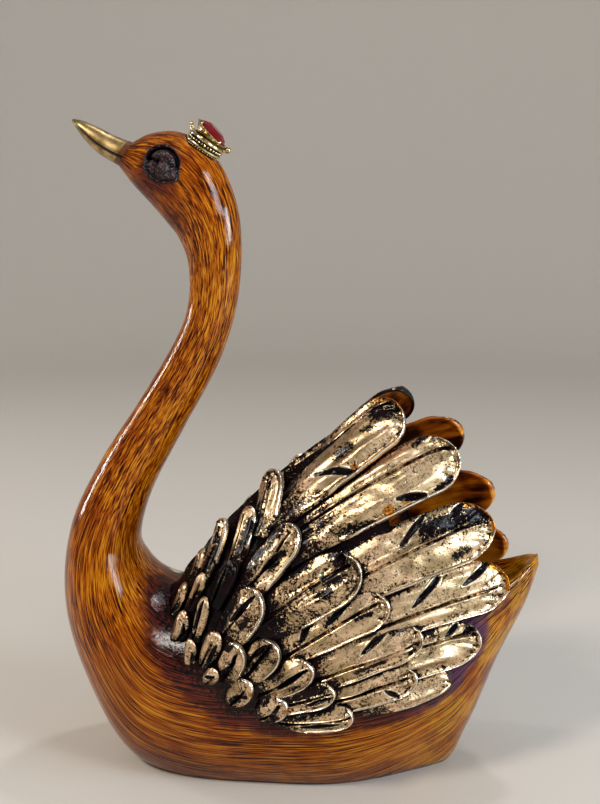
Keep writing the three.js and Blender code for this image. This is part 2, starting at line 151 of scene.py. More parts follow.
FEATHERS = (
    dict(layer=0.4, lift=0.8, grid=(60, 38, 8), blades=(
        blade((0.36, 0.21), (0.99, 0.03), 20, (-0.85, -0.5), [(0.31, 0.0, 0.5, 0.9)],
              [(0.82, -0.3, 0.92, 0.05, 3.2), (0.7, -0.05, 0.73, 0.05, 1.8), (0.48, 0.1, 0.56, 0.08, 2.2)],
              [(0.5, 0.75, 1.2)], True, far_rim=1.0),
        blade((0.37, 0.38), (1.0, 0.24), 20, (-0.3, -0.4), [(0.58, 0.55, 0.74, 0.85)],
              [(0.8, -0.75, 0.86, -0.95, 1.4), (0.3, 0.7, 0.42, 0.95, 2.2), (0.8, 0.85, 0.9, 0.8, 1.2)],
              [(0.52, 0.78, 2.2), (0.62, 0.72, 1.6)]),
        blade((0.42, 0.63), (0.98, 0.483), 20, (0.08, -0.24),
              [(0.53, -0.3, 0.69, -0.95), (0.8, -0.6, 0.88, -0.95)],
              [(0.68, -0.5, 0.94, -0.55, 3.8), (0.76, 0.6, 0.83, 0.5, 1.6)], (), True),
        blade((0.46, 0.77), (1.0, 0.68), 18, (0.35, 0.06),
              [(0.5, 0.0, 0.67, -0.8), (0.77, -0.3, 0.91, -0.95)],
              [(0.42, -0.8, 0.5, -0.9, 2.0)], (), True),
        blade((0.56, 0.91), (0.98, 0.87), 16, (-0.36, -0.44),
              [(0.76, -0.5, 0.85, -0.9), (0.88, -0.5, 0.96, -0.9)], [(0.35, -0.95, 0.68, -0.95, 3.0)]),
        blade((0.6, 0.99), (1.03, 1.02), 12, (-0.6, -0.5), (), [(0.7, -0.9, 0.9, -0.9, 2.0)]),
    )),
    dict(layer=1.6, lift=1.3, grid=(44, 30, 6), blades=(
        blade((0.31, 0.26), (0.46, 0.03), 12, (-0.3, -0.2), [(0.66, 0.0, 0.8, 0.1)],
              [(0.1, -0.6, 0.4, -0.5, 4.2), (0.5, -0.95, 0.65, -0.95, 1.4)]),
        blade((0.2, 0.34), (0.33, 0.11), 8.5, (-0.2, -0.1), (), [(0.2, 0.6, 0.7, 0.7, 2.6)]),
        blade((0.2, 0.5), (0.44, 0.32), 13.5, (0.1, -0.04), [(0.4, 0.12, 0.7, 0.25)],
              [(0.2, -0.7, 0.8, -0.85, 4.4), (0.5, 0.35, 0.7, 0.4, 1.5)]),
        blade((0.24, 0.65), (0.588, 0.545), 18.5, (-0.08, -0.24), [(0.86, -0.3, 0.92, -0.9)],
              [(0.85, -0.8, 0.9, -0.4, 2.2), (0.6, 0.3, 0.68, 0.36, 2.0), (0.45, -0.9, 0.65, -0.8, 1.8),
               (0.7, -0.2, 0.8, 0.1, 1.4)], black=0.28),
        blade((0.26, 0.78), (0.66, 0.69), 14, (0.38, -0.3),
              [(0.54, -0.2, 0.76, -0.85), (0.3, 0.0, 0.42, -0.6)],
              [(0.55, -0.3, 0.68, -0.55, 1.4), (0.75, 0.0, 0.85, 0.1, 1.0)]),
        blade((0.33, 0.89), (0.77, 0.81), 14.5, (0.12, 0.28), [(0.58, -0.2, 0.79, -0.8)],
              [(0.8, -0.7, 0.9, -0.8, 1.6), (0.5, 0.5, 0.7, 0.5, 1.0)]),
        blade((0.4, 0.96), (0.8, 0.94), 12.5, (0.0, -0.04), [(0.7, 0.2, 0.8, 0.8)],
              [(0.4, -0.9, 0.7, -0.9, 1.8)]),
    )),
    dict(layer=2.0, lift=2.0, grid=(32, 26, 5), blades=(
        blade((0.1, 0.27), (0.24, 0.07), 9.5, (0.1, 0.0), [(0.55, -0.1, 0.75, 0.0)],
              [(0.1, 0.3, 0.45, 0.6, 3.4), (0.6, 0.2, 0.66, 0.2, 0.9)]),
        blade((0.12, 0.45), (0.23, 0.32), 8, (0.0, 0.0), black=1.2),
        blade((0.11, 0.65), (0.285, 0.51), 14.5, (-0.25, -0.1), [(0.36, -0.3, 0.9, 0.0)],
              [(0.1, -0.7, 0.66, -0.95, 2.8), (0.45, 0.3, 0.6, 0.35, 1.0)], black=0.2),
        blade((0.13, 0.83), (0.305, 0.727), 12, (0.1, -0.2), [(0.5, -0.4, 0.85, -0.35)],
              [(0.4, 0.0, 0.84, -0.1, 1.7)]),
        blade((0.17, 0.89), (0.415, 0.833), 12, (0.3, 0.0), [(0.36, 0.3, 0.9, 0.0)],
              [(0.2, -0.7, 0.45, -0.6, 3.2)]),
        blade((0.17, 0.95), (0.49, 0.92), 10, (0.1, 0.0), [(0.6, 0.4, 0.9, 0.3)],
              [(0.4, -0.3, 0.85, -0.5, 2.4)], [(0.2, 0.5, 1.2)]),
        blade((0.22, 1.0), (0.57, 1.0), 10, (0.2, 0.1), [(0.3, 0.5, 0.8, 0.4)],
              [(0.21, -0.42, 0.7, -0.85, 2.2)]),
    )),
    dict(layer=1.6, lift=2.0, grid=(22, 20, 5), blades=(
        blade((0.05, 0.22), (0.14, 0.12), 6, (0.0, 0.0), (), [(0.1, 0.4, 0.4, 0.6, 2.0)]),
        blade((0.03, 0.36), (0.12, 0.26), 6, (0.4, 0.4), (), [(0.2, 0.6, 0.5, 0.8, 1.5)]),
        blade((0.02, 0.55), (0.11, 0.39), 6, (0.0, 0.1), [(0.2, -0.3, 0.9, 0.3)]),
        blade((-0.05, 0.46), (0.03, 0.38), 8, (0.6, 0.6), [(0.2, 0.9, 0.7, 0.7)],
              [(0.3, 0.9, 0.5, 0.9, 1.2)]),
        blade((-0.06, 0.68), (0.02, 0.54), 6, (0.5, 0.6), (), [(0.5, 0.8, 0.6, 0.8, 1.0)]),
        blade((0.0, 0.7), (0.12, 0.59), 7.5, (0.0, 0.1), [(0.2, 0.5, 0.8, 0.6)], [(0.1, 0.7, 0.6, 0.8, 1.8)]),
        blade((0.04, 0.82), (0.18, 0.68), 11, (0.0, 0.2), [(0.2, -0.3, 0.55, 0.3), (0.55, 0.3, 0.75, 0.1)],
              [(0.2, -0.1, 0.45, 0.2, 1.8)]),
        blade((-0.04, 0.79), (0.06, 0.75), 6, (0.3, 0.3), [(0.4, -0.4, 0.8, 0.4)]),
        blade((0.0, 0.94), (0.17, 0.84), 9, (0.2, 0.1), [(0.35, -0.2, 0.7, 0.7)], [(0.2, 0.0, 0.4, 0.2, 1.5)],
              [(0.8, 0.75, 1.1)]),
        blade((0.12, 1.0), (0.29, 0.93), 9.5, (0.2, 0.0), [(0.3, 0.5, 0.8, -0.1)],
              [(0.1, 0.6, 0.4, 0.7, 1.6)], [(0.9, 0.85, 1.0)]),
        blade((-0.03, 0.3), (0.05, 0.22), 5.5, (0.2, 0.2), (), [(0.1, 0.5, 0.4, 0.6, 1.4)]),
    )),
)

EYE_CENTRE = (-40.2, 209.8)
EYE_REACH = 6.3
EYE_CORNER = math.radians(-45)
EYE_BALL = (0.9, -1.9)
EYE_BALL_RADIUS = 3.3
EYE_GRID = (84, 30)  # steps round the eye and from its edge to its middle

CROWN_CENTRE = (-28.9, 0, 214.3)
CROWN_TILT = math.radians(34.8)
SETTING_TILT = math.radians(13)
RING_RADIUS = 6.3
RING_WALL = 1.2
RING_HEIGHT = 4.2
SETTING_HEIGHT = 6.6
SETTING_SHIFT = 0.6
SETTING_RADIUS = 6.4
SETTING_WAIST = 4.2
SETTING_WALL = 0.6
STONE_RISE = 1.9
STONE_TABLE = 3.0
SEAT_CLEARANCE = 0.35
STEM_RADIUS = 0.45
# The two points left on the ring's rim: turn from the nape in degrees, out from the ring, up from its
# rim, and the ball's radius.
POINTS = ((180, 1.1, 1.1, 0.6), (0, 1.0, 0.6, 1.1))
# Rows of beads round the ring: how many, how far out from its wall, how high, and each one's radius.
BEADS = ((34, 0.1, 2.2, 0.46), (40, 0.12, 0.3, 0.3))
CLAWS = 4
STONE_SIDES = 9

BLOCK_REACH = 200  # half the side of the block that cuts the underside flat
BLOCK_DEPTH = 100

# Edges that bend by more than this stay sharp.
SWAN_SHARP = math.radians(42)
CROWN_SHARP = math.radians(40)


def smoothstep(low, high, x):
    t = np.clip((np.asarray(x, float) - low) / (high - low), 0, 1)
    return t * t * (3 - 2 * t)


def bump(x, centre, width):
    return np.exp(-(((np.asarray(x, float) - centre) / width) ** 2))


def unit(v):
    return v / np.maximum(np.linalg.norm(v, axis=-1, keepdims=True), 1e-9)


def ripples(random, s, x, finest, coarsest, count=6):
    """A gentle unevenness of about one unit, from a few waves in random directions."""
    total = 0
    for _ in range(count):
        turn, phase = random.uniform(0, math.pi), random.uniform(0, 2 * math.pi)
        wave = 2 * math.pi / random.uniform(finest, coarsest)
        total = total + np.sin(wave * (s * math.cos(turn) + x * math.sin(turn)) + phase)
    return total / math.sqrt(count)


def around(radius, turn, height):
    """The place at a radius, a turn and a height about the Z axis."""
    return radius * math.cos(turn), radius * math.sin(turn), height


# Meshes


FAR_FROM_LINES = 9.0


def read(items, name, kind, width=1):
    """One property of all items of a mesh, as an array."""
    values = np.empty(width * len(items), kind)
    items.foreach_get(name, values)
    return values


def make_mesh(name, points, faces, materials, slots=0, grain=0, wear=0, lines=FAR_FROM_LINES):
    """A mesh in metres, with its shading attributes held on face corners. One number holds everywhere."""
    mesh = bpy.data.meshes.new(name)
    mesh.from_pydata((np.asarray(points) * MM).tolist(), [], faces)
    corners = read(mesh.loops, "vertex_index", np.int32)
    for label, values in (("grain", grain), ("wear", wear), ("lines", lines)):
        layer = mesh.attributes.new(label, "FLOAT_VECTOR", "CORNER")
        held = np.broadcast_to(np.asarray(values, np.float32), (len(points), 3))
        layer.data.foreach_set("vector", held[corners].ravel())
    for material in materials:
        mesh.materials.append(material)
    mesh.polygons.foreach_set("material_index", np.full(len(faces), slots, np.int32))
    mesh.polygons.foreach_set("use_smooth", np.ones(len(mesh.polygons), dtype=bool))
    mesh.update()
    return mesh


def volume_of(mesh):
    bm = bmesh.new()
    bm.from_mesh(mesh)
    volume = bm.calc_volume(signed=True)
    bm.free()
    return volume


def as_object(mesh, collection=None):
    """The mesh as an object, turned to face out."""
    if volume_of(mesh) < 0:
        mesh.flip_normals()
    thing = bpy.data.objects.new(mesh.name, mesh)
    (collection or bpy.context.scene.collection).objects.link(thing)
    return thing


def loft_faces(rings, sides):
    """Quads between rings of equally many points, and a fan at each end round an added middle point."""
    faces = []
    for r in range(rings - 1):
        for k in range(sides):
            a, b = r * sides + k, r * sides + (k + 1) % sides
            faces.append((a, b, b + sides, a + sides))
    first, last = rings * sides, rings * sides + 1
    for k in range(sides):
        faces.append(((k + 1) % sides, k, first))
        a = (rings - 1) * sides
        faces.append((a + k, a + (k + 1) % sides, last))
    return faces


def with_middles(grid):
    """A grid of rings (rings, sides, n) as a list of rows, with each end ring's mean added."""
    flat = grid.reshape(-1, grid.shape[-1])
    return np.vstack([flat, grid[0].mean(axis=0), grid[-1].mean(axis=0)])


def loft_mesh(name, points, materials, slot_of=None, **grids):
    """A closed mesh from rings of points and of shading values. slot_of gives a face its material."""
    faces = loft_faces(*points.shape[:2])
    slots = [slot_of(face) for face in faces] if slot_of else 0
    held = {label: with_middles(grid) for label, grid in grids.items()}
    return make_mesh(name, with_middles(points), faces, materials, slots, **held)


def merged(base, operation, parts):
    """Gives the base object its mesh after a boolean with every mesh of a list."""
    holder = bpy.data.collections.new("operands")
    bpy.context.scene.collection.children.link(holder)
    for part in parts:
        as_object(part, holder)
    step = base.modifiers.new("step", "BOOLEAN")
    step.operation = operation
    step.operand_type = "COLLECTION"
    step.collection = holder
    step.solver = "MANIFOLD"
    step.material_mode = "TRANSFER"
    graph = bpy.context.evaluated_depsgraph_get()
    result = bpy.data.meshes.new_from_object(
        base.evaluated_get(graph), preserve_all_data_layers=True, depsgraph=graph
    )
    base.modifiers.clear()
    for thing in list(holder.objects):
        bpy.data.objects.remove(thing)
    bpy.data.collections.remove(holder)
    result.name = base.data.name
    base.data = result


def drop_pockets(mesh):
    """Leaves only the outer surface: no closed pocket inside and no loose scrap."""
    bm = bmesh.new()
    bm.from_mesh(mesh)
    bm.verts.ensure_lookup_table()
    seen = np.zeros(len(bm.verts), dtype=bool)
    islands = []
    for start in bm.verts:
        if seen[start.index]:
            continue
        seen[start.index] = True
        island, stack = [start], [start]
        while stack:
            for edge in stack.pop().link_edges:
                for vert in edge.verts:
                    if not seen[vert.index]:
                        seen[vert.index] = True
                        island.append(vert)
                        stack.append(vert)
        islands.append(island)
    islands.sort(key=len)
    for island in islands[:-1]:
        bmesh.ops.delete(bm, geom=island, context="VERTS")
    bm.to_mesh(mesh)
    bm.free()


# Body


def spline(values, t):
    """Catmull-Rom through a list of numbers, at places t from 0 to the last index."""
    v = np.asarray(values, float)
    padded = np.concatenate([[2 * v[0] - v[1]], v, [2 * v[-1] - v[-2]]])
    i = np.minimum(np.floor(t).astype(int), len(v) - 2)
    f = t - i
    a, b, c, d = (padded[i + k] for k in range(4))
    return 0.5 * (
        2 * b + (c - a) * f + (2 * a - 5 * b + 4 * c - d) * f**2 + (3 * b - a - 3 * c + d) * f**3
    )


def evenly_round(ring, sides):
    """The points of a closed ring at equal steps of length, from its first point."""
    closed = np.vstack([ring, ring[:1]])
    reach = np.concatenate([[0], np.cumsum(np.linalg.norm(np.diff(closed, axis=0), axis=1))])
    steps = np.linspace(0, reach[-1], sides, endpoint=False)
    return np.stack([np.interp(steps, reach, closed[:, i]) for i in range(3)], axis=-1), reach[-1]


def loft_body(stations, steps, sides):
    """Rings of points through the stations, with how far along, how far round and how thick each is."""
    t = np.linspace(0, len(stations) - 1, (len(stations) - 1) * steps + 1)
    ox, oz, ix, iz, half, high, square, vee, sag = (spline(column, t)[:, None] for column in zip(*stations))
    angle = np.linspace(0, 2 * math.pi, 720, endpoint=False)[None, :]
    c, s = -np.cos(angle), np.sin(angle)
    power = 2 / np.where(c > 0, square, vee)
    up = np.sign(c) * np.abs(c) ** power
    out = np.sign(s) * np.abs(s) ** power
    span = np.hypot(ix - ox, iz - oz)
    share = (1 + up + high * (1 - up**2)) / 2 - (sag / span) * np.maximum(0, up) * (1 - out**2) ** 2
    dense = np.stack([ox + (ix - ox) * share, -half * out, oz + (iz - oz) * share], axis=-1)
    rings = [evenly_round(ring, sides) for ring in dense]
    points = np.stack([ring for ring, _ in rings])
    radius = np.array([girth for _, girth in rings])[:, None] / (2 * math.pi)
    middle = np.hstack([(ox + ix) / 2, (oz + iz) / 2])
    run = np.concatenate([[0], np.cumsum(np.hypot(*np.diff(middle, axis=0).T))])[:, None]
    turn = np.linspace(0, 2 * math.pi, sides, endpoint=False)[None, :]
    flat = np.ones((len(t), sides))
    grain = np.stack([run * flat, np.cos(turn) * flat, np.sin(turn) * flat], axis=-1)
    return points, grain, radius * flat, t


NARROW_RADIUS = 9.0  # streaks are drawn for this body radius, and for twice and four times it


def body_mesh(lacquer):
    points, grain, radius, _ = loft_body(STATIONS, BODY_STEPS, BODY_SIDES)
    doublings = np.clip(np.log2(radius / NARROW_RADIUS), 0, 2)
    wear = np.stack([doublings, 0 * doublings, 0 * doublings], axis=-1)
    return loft_mesh("swan_fine", points, [lacquer], grain=grain, wear=wear)


def bill_mesh(material):
    points, grain, _, t = loft_body(BILL, BILL_STEPS, BILL_SIDES)
    up = -grain[..., 1]
    groove = bump(up, MOUTH_AT, 0.1) * smoothstep(5.0, 4.3, t)[:, None]
    ridge = bump(up, MOUTH_AT - 0.22, 0.1) + 0.7 * bump(up, MOUTH_AT + 0.22, 0.1)
    points[..., 1] *= 1 - 0.22 * groove + 0.05 * ridge * smoothstep(5.0, 4.0, t)[:, None]
    root = smoothstep(1.2, 1.0, t)[:, None] * np.ones_like(up)
    wear = np.stack([groove, root, 0 * up], axis=-1)
    return loft_mesh("bill", points, [material], grain=grain, wear=wear)


# Wings


def lagrange(t, count):
    """Weights that carry a curve through equally spaced points; t is an array."""
    t = np.asarray(t, float)
    out = []
    for i in range(count):
        w = np.ones_like(t)
        for j in range(count):
            if j != i:
                w = w * (t * (count - 1) - j) / (i - j)
        out.append(w)
    return np.stack(out, axis=-1)


def wing_point(along, across):
    return np.einsum("...i,...j,ijk->...k", lagrange(along, 3), lagrange(across, 4), WING_ACROSS)


def wing_normal(along, across):
    step = 0.01
    a = wing_point(along + step, across) - wing_point(along - step, across)
    b = wing_point(along, across + step) - wing_point(along, across - step)
    return unit(np.cross(b, a))


def shell_mesh(gilt, inner, seed):
    """The wall under the feathers, with rough black ground where the small front feathers stand."""
    random = np.random.default_rng(seed)
    columns, rows = SHELL_GRID
    along = np.linspace(*SHELL_ALONG, columns)[:, None] * np.ones((1, rows))
    across = np.linspace(*SHELL_ACROSS, rows)[None, :] * np.ones((columns, 1))
    place, normal = wing_point(along, across), wing_normal(np.maximum(0, along), across)
    s, x = along * WING_REACH[0], across * WING_REACH[1]
    lumps = SHELL_LUMPS * ripples(random, s, x, 3.0, 7.0, 12) * smoothstep(0.3, 0.1, along)
    rise = SHELL_SWELL * smoothstep(-0.5, -0.15, -along) * (1 - 1.6 * np.maximum(0, across) ** 6)
    rise += lumps - SHELL_SINK
    depth = SHELL_SINK + SHELL_THICKNESS + SHELL_FOOT * np.maximum(0, across) ** 4
    outside = place + normal * rise[..., None]
    inside = place - normal * depth[..., None]
    points = np.concatenate([outside, inside[:, ::-1]], axis=1)
    grain = np.stack([s, x, 0 * along], axis=-1)
    grain = np.concatenate([grain, grain[:, ::-1]], axis=1)
    wear = np.zeros_like(grain)
    wear[:, :rows] = (0.5, 1, 0)

    def slot_of(face):
        return 1 if rows - 1 <= face[0] % (2 * rows) < 2 * rows - 1 else 0

    return loft_mesh("shell", points, [gilt, inner], slot_of, grain=grain, wear=wear)


def feather_outline(u, roundness):
    body = 0.72 + 0.28 * np.sin(np.minimum(u, 0.6) / 0.6 * math.pi / 2)
    past = np.maximum(0, (u - 1 + roundness) / roundness)
    return body * np.sqrt(np.maximum(0, 1 - past**2))


def shares(steps):
    """Places from root to tip, sparse near the hidden root and close together round the tip."""
    u = np.linspace(0, 1, 800)
    weight = 0.4 + 0.5 * smoothstep(0.1, 0.3, u) + 2.2 * smoothstep(0.82, 0.95, u)
    weight = weight + 12 * smoothstep(0.965, 1, u)
    total = np.cumsum(weight)
    return np.interp(np.linspace(0, 1 - 0.02 / steps, steps), (total - total[0]) / (total[-1] - total[0]), u)


def segment(s, x, start, end):
    """Distance from points (s, x) to a segment, on which side they lie, and the share along it."""
    (s0, x0), (s1, x1) = start, end
    run = max(math.hypot(s1 - s0, x1 - x0), 1e-6)
    ds, dx = (s1 - s0) / run, (x1 - x0) / run
    share = np.clip(((s - s0) * ds + (x - x0) * dx) / run, 0, 1)
    ahead = (s - s0 - share * (s1 - s0), x - x0 - share * (x1 - x0))
    side = (s - s0) * dx - (x - x0) * ds
    return np.hypot(*ahead), side, share


class Blade:
    """One feather's places in millimetres: s along it, x across it, and e from its edge."""

    def __init__(self, blade, u, b, length, half):
        self.blade, self.u, self.b, self.length, self.half = blade, u, b, length, half
        self.s, self.x = u * length + 0 * b, b * half
        self.from_tip = (1 - u) * length + 0 * b
        slope = np.gradient(half[:, 0], (u * length)[:, 0])[:, None]
        self.e = np.minimum((half - np.abs(self.x)) / np.hypot(1, slope), self.from_tip)
        self.size = blade["width"]
        q0, q1 = blade["quill"]
        self.quill = (q0 + (q1 - q0) * u + 0.06 * np.sin(u * math.pi)) * half
        self.d = self.x - self.quill
        self.shown = smoothstep(1.0, 4.0, self.from_tip)
        # How far the rim is rolled: fully along the lower edge and round the tip.
        rolled = np.maximum(smoothstep(0.0, 0.6, b), smoothstep(0.3, 0.12, self.from_tip / self.size))
        self.rolled = (0.12 + 0.88 * rolled) * smoothstep(5.0, 10.0, self.size) * smoothstep(0.1, 0.4, u)

    def place(self, u, b):
        i = int(np.argmin(np.abs(self.u[:, 0] - u)))
        return u * self.length, b * self.half[i, 0]

    def to_segment(self, mark):
        return segment(self.s, self.x, self.place(*mark[0:2]), self.place(*mark[2:4]))

    def to_slit(self, mark):
        """Distance from a leaf-shaped cut's middle line, which side, and its shape and half width there."""
        away, side, share = self.to_segment(mark)
        leaf = np.sin(math.pi * np.clip(0.06 + 0.86 * share, 0, 1))
        return away, side, leaf, 0.1 + 0.7 * max(min(1.0, self.size / 15), 0.6) * leaf

    def lines(self):
        """Distances from the rolled rim's edge, the quill and the cuts' edges, for drawing them finely."""
        cut = 0 * self.e + FAR_FROM_LINES
        for mark in self.blade["slits"]:
            away, _, _, width = self.to_slit(mark)
            cut = np.minimum(cut, away - 1.3 * width)
        return np.stack([self.e + 4 * (1 - self.rolled), self.d + 4 * (1 - self.shown), cut], axis=-1)


def carving(p, random):
    """How high the carving stands over a feather's smooth face, in millimetres."""
    scale = min(1.0, p.size / 13)
    # A fine groove between two soft ribs, in a broad valley between the feather's two lobes.
    ribs = 0.4 * bump(np.abs(p.d), 0.95 * scale, 0.5 * scale) - 0.45 * bump(p.d, 0, 0.34 * scale)
    height = p.shown * (ribs - 1.05 * max(scale, 0.8) * bump(p.d, 0, 0.17 * p.size))
    # Rolled rim along the lower edge and round the tip, with a hollow inside it.
    height += p.rolled * (0.6 * bump(p.e, 0.65, 0.5) - 0.5 * bump(p.e, 2.4, 1.2))
    # Broad soft flutes that run the length of the feather and spread towards the tip.
    for _ in range(FLUTES[0] if p.size > BROAD else FLUTES[1]):
        b0 = random.uniform(-0.95, 0.95)
        line = (b0 * (0.55 + 0.45 * p.u)) * p.half + 0.35 * p.quill * (1 - p.u)
        start = random.uniform(0.1, 0.45)
        reach = smoothstep(start, start + 0.2, p.u) * smoothstep(0.0, 0.25, start + 0.6 - p.u)
        depth = random.choice((-1, 1)) * random.uniform(0.45, 0.85) * scale
        height += depth * reach * (0.35 + 0.65 * smoothstep(0.5, 3.0, p.e)) * bump(p.x, line, 0.08 * p.size)
    height += 0.17 * scale * ripples(random, p.s * 0.6, p.x, 3.5, 8.0)
    # Shallow cuts that follow the barbs out from the quill.
    for _ in range(BARB_CUTS[0] if p.size > BROAD else BARB_CUTS[1]):
        u0, lobe = random.uniform(0.25, 0.85), random.choice((-1, 1))
        start = (u0, float(np.clip(p.blade["quill"][0] + random.uniform(0.1, 0.3) * lobe, -0.9, 0.9)))
        end = (min(0.97, u0 + random.uniform(0.08, 0.2)), random.uniform(0.6, 0.95) * lobe)
        away, _, share = p.to_segment((*start, *end))
        height -= random.uniform(0.15, 0.4) * scale * bump(away, 0, 0.35) * np.sin(share * math.pi)
    # Short grooves that fan in from the round tip.
    if p.size > FANNED:
        fan = np.arctan2(p.d, p.s - p.length * (1 - 0.75 * p.size / p.length))
        near = smoothstep(0.55 * p.size, 0.25 * p.size, p.from_tip) * smoothstep(0.5, 1.4, p.e)
        for k in range(FAN_GROOVES):
            turn = (k - FAN_GROOVES // 2) * 0.32 + random.uniform(-0.1, 0.1)
            height -= random.uniform(0.35, 0.8) * near * bump(fan, turn, 0.075)
    # Leaf-shaped cuts, pointed at both ends, with a raised lip along one side.
    for mark in p.blade["slits"]:
        away, side, leaf, width = p.to_slit(mark)
        height -= 1.35 * max(scale, 0.6) * leaf**0.6 * bump(away, 0, width)
        height += 0.35 * leaf * bump(away, width + 0.55, 0.32) * (side > 0)
    return height


def feather_wear(p, hollow, far):
    """Shading for the gilt face: carved hollows, black stains with painted shade at the root and along the
    upper edge, and rust, each from 0 to 1.
    """
    # Painted shade where the feather runs under its neighbour, at its root and along its upper edge, on top
    # of the black ground.
    stain_and_shade = p.blade["black"] + 0.8 * smoothstep(0.42, 0.08, p.u)
    stain_and_shade = stain_and_shade + 0.6 * smoothstep(1.8, 0.2, p.e) * smoothstep(-0.2, -0.7, p.b)
    for mark in p.blade["stains"]:
        away, _, _ = p.to_segment(mark)
        stain_and_shade = np.maximum(stain_and_shade, smoothstep(1.5 * mark[4], 0.1 * mark[4], away))
    rust = 0 * stain_and_shade
    if p.blade["amber"] and not far:
        rust = 1.3 * smoothstep(0.45, 0.3, p.from_tip / p.size) * smoothstep(0.7, 0.4, p.b)
        rust = rust * smoothstep(2.0, 1.2, p.e)
    for u, b, radius in p.blade["rust"]:
        away, _, _ = p.to_segment((u, b, u + 0.01, b))
        rust = np.maximum(rust, smoothstep(1.5 * radius, 0.1 * radius, away))
    return np.stack([hollow, stain_and_shade, rust], axis=-1)


def feather_mesh(group, data, seed, gilt, inner, far):
    random = np.random.default_rng(seed)
    root, tip = np.array(data["root"]), np.array(data["tip"])
    if far and tip[0] < FRONT_TIPS:
        tip[1] += FAR_TIPS_LOWER
    width = data["width"]
    length = float(np.linalg.norm(wing_point(*root) - wing_point(*tip)))
    roundness = min(0.6, 0.62 * width / length)
    grid = zip(group["grid"], FAR_WING_GRID if far else (1, 1, 1))
    steps, top, under = (round(count * share) for count, share in grid)
    u = shares(steps)[:, None]
    along, across = (root[i] + (tip[i] - root[i]) * u for i in range(2))
    centre, normal = wing_point(along, across), wing_normal(along, across)
    ahead = [root[i] + (tip[i] - root[i]) * (u + 0.01) for i in range(2)]
    side = unit(np.cross(unit(wing_point(*ahead) - centre), normal))
    centre = centre + normal * (group["layer"] + group["lift"] * u[..., None] ** 2)
    half = width / 2 * feather_outline(u, roundness)
    s = np.concatenate([np.linspace(1, -1, top), np.linspace(-1, 1, under + 2)[1:-1]])
    b = (s * (1.15 - 0.15 * s**6))[None, :]
    over = (np.arange(len(s)) < top)[None, :]
    h = np.sqrt(np.maximum(0, 1 - b**2))
    p = Blade(data, u, b, length, half)
    cut = carving(p, random)
    plump = 1.1 * smoothstep(12, 7, width) * (1 - b**2) * np.minimum(1, p.from_tip / 3)
    face = FEATHER_THICKNESS / 2 * np.minimum(1, half / 4) * h**0.75 + plump + cut * np.minimum(1, half / 3)
    # The back of a feather is scooped out inside its rim and grooved from the root to the tip.
    scoop = 0.8 * smoothstep(0.45, 0.8, u) * smoothstep(0.6, 2.5, p.e)
    for turn in (-0.5, -0.1, 0.35):
        place = turn * half * (0.6 + 0.9 * (u - 0.5)) + random.uniform(-0.5, 0.5)
        scoop = scoop - 0.4 * bump(p.x, place, 0.5) * smoothstep(0.3, 0.6, u) * smoothstep(0.8, 2.0, p.e)
    back = (scoop - FEATHER_THICKNESS / 2 * h**0.75) * np.minimum(1, half / 4)
    rise = np.where(over, face, back) - FEATHER_CUP * half * b**2 + FEATHER_ROLL * half * b
    points = centre + side * (half * b)[..., None] + normal * rise[..., None]
    hollow = np.clip(-cut / 0.7, 0, 1)
    rim = smoothstep(2.2, 1.0, p.e) * (data["far_rim"] if far else 0.25)
    # Inside, the feathers with an amber edge in front are more amber all over, with a darker one between.
    paler = smoothstep(2.5, 0.4, p.e) + (0.8 if data["amber"] else -1.0)
    back_wear = np.stack([rim, smoothstep(0.2, -0.3, scoop), paler], axis=-1)
    gilded = over & (h > GILT_EDGE)
    wear = np.where(gilded[..., None], feather_wear(p, hollow, far), back_wear)
    grain = np.stack([p.s, p.x, 0 * p.s + seed * 7.31], axis=-1)

    def slot_of(face):
        k = face[0] % len(s)
        return 0 if k < top - 1 and (len(face) == 3 or gilded[0, k] or gilded[0, k + 1]) else 1

    return loft_mesh("feather", points, [gilt, inner], slot_of, grain=grain, wear=wear, lines=p.lines())


def mirrored(mesh):
    """Moves a near-wing mesh over to the far wing's place."""
    shift = Matrix.Translation((FAR_WING_SET_BACK * MM, 0, 0))
    mesh.transform(shift @ Matrix.Diagonal((1, -1, 1, 1)))
    mesh.flip_normals()
    return mesh


def wing_meshes(gilt, inner):
    near, far = [shell_mesh(gilt, inner, 1)], [mirrored(shell_mesh(gilt, inner, 2))]
    seed = 10
    for group in FEATHERS:
        for data in group["blades"]:
            near.append(feather_mesh(group, data, seed, gilt, inner, False))
            far.append(mirrored(feather_mesh(group, data, seed + 100, gilt, inner, True)))
            seed += 1
    return near + far


# Head details


def eye_edge(angle):
    """How far the eye's outline lies from its middle: a circle with one pointed corner."""
    apart = np.angle(np.exp(1j * (angle - EYE_CORNER)))
    return EYE_REACH * (1 + 0.24 * np.maximum(0, 1 - np.abs(apart) / 0.55) ** 1.5)


def eye_height(x, z):
    """The eye's relief over the side of the head: x towards the nape and z up, from its middle."""
    angle = np.arctan2(z, x)
    r = np.hypot(x, z) / eye_edge(angle)
    upper = smoothstep(-0.35, 0.45, np.sin(angle + 0.25))
    height = (0.35 + 0.5 * smoothstep(-0.3, 0.6, -np.cos(angle))) * bump(r, 0.93, 0.055)
    height -= 1.5 * bump(r, 0.8, 0.085) * upper + 0.3 * bump(r, 0.86, 0.05) * (1 - upper)
    height += 1.3 * bump(r, 0.5, 0.2) * upper
    away, _, _ = segment(x, z, (-3.9, 1.9), (-0.9, 0.7))
    height -= 1.4 * bump(away, 0, 0.6)
    from_ball = np.hypot(x - EYE_BALL[0], z - EYE_BALL[1])
    ball = 1.4 * np.sqrt(np.maximum(0, 1 - (from_ball / EYE_BALL_RADIUS) ** 2)) - 0.2
    height = np.maximum(height, np.where(from_ball < EYE_BALL_RADIUS, ball, -9))
    swirl = smoothstep(1.0, -1.0, x) * smoothstep(0.9, 0.6, r)
    height += 0.08 * swirl * np.cos(from_ball * 2 * math.pi / 1.05)
    height -= 1.3 * bump(np.hypot(x - 2.9, z + 1.4), 0, 1.2)
    return height - 1.6 * smoothstep(0.985, 1.03, r)


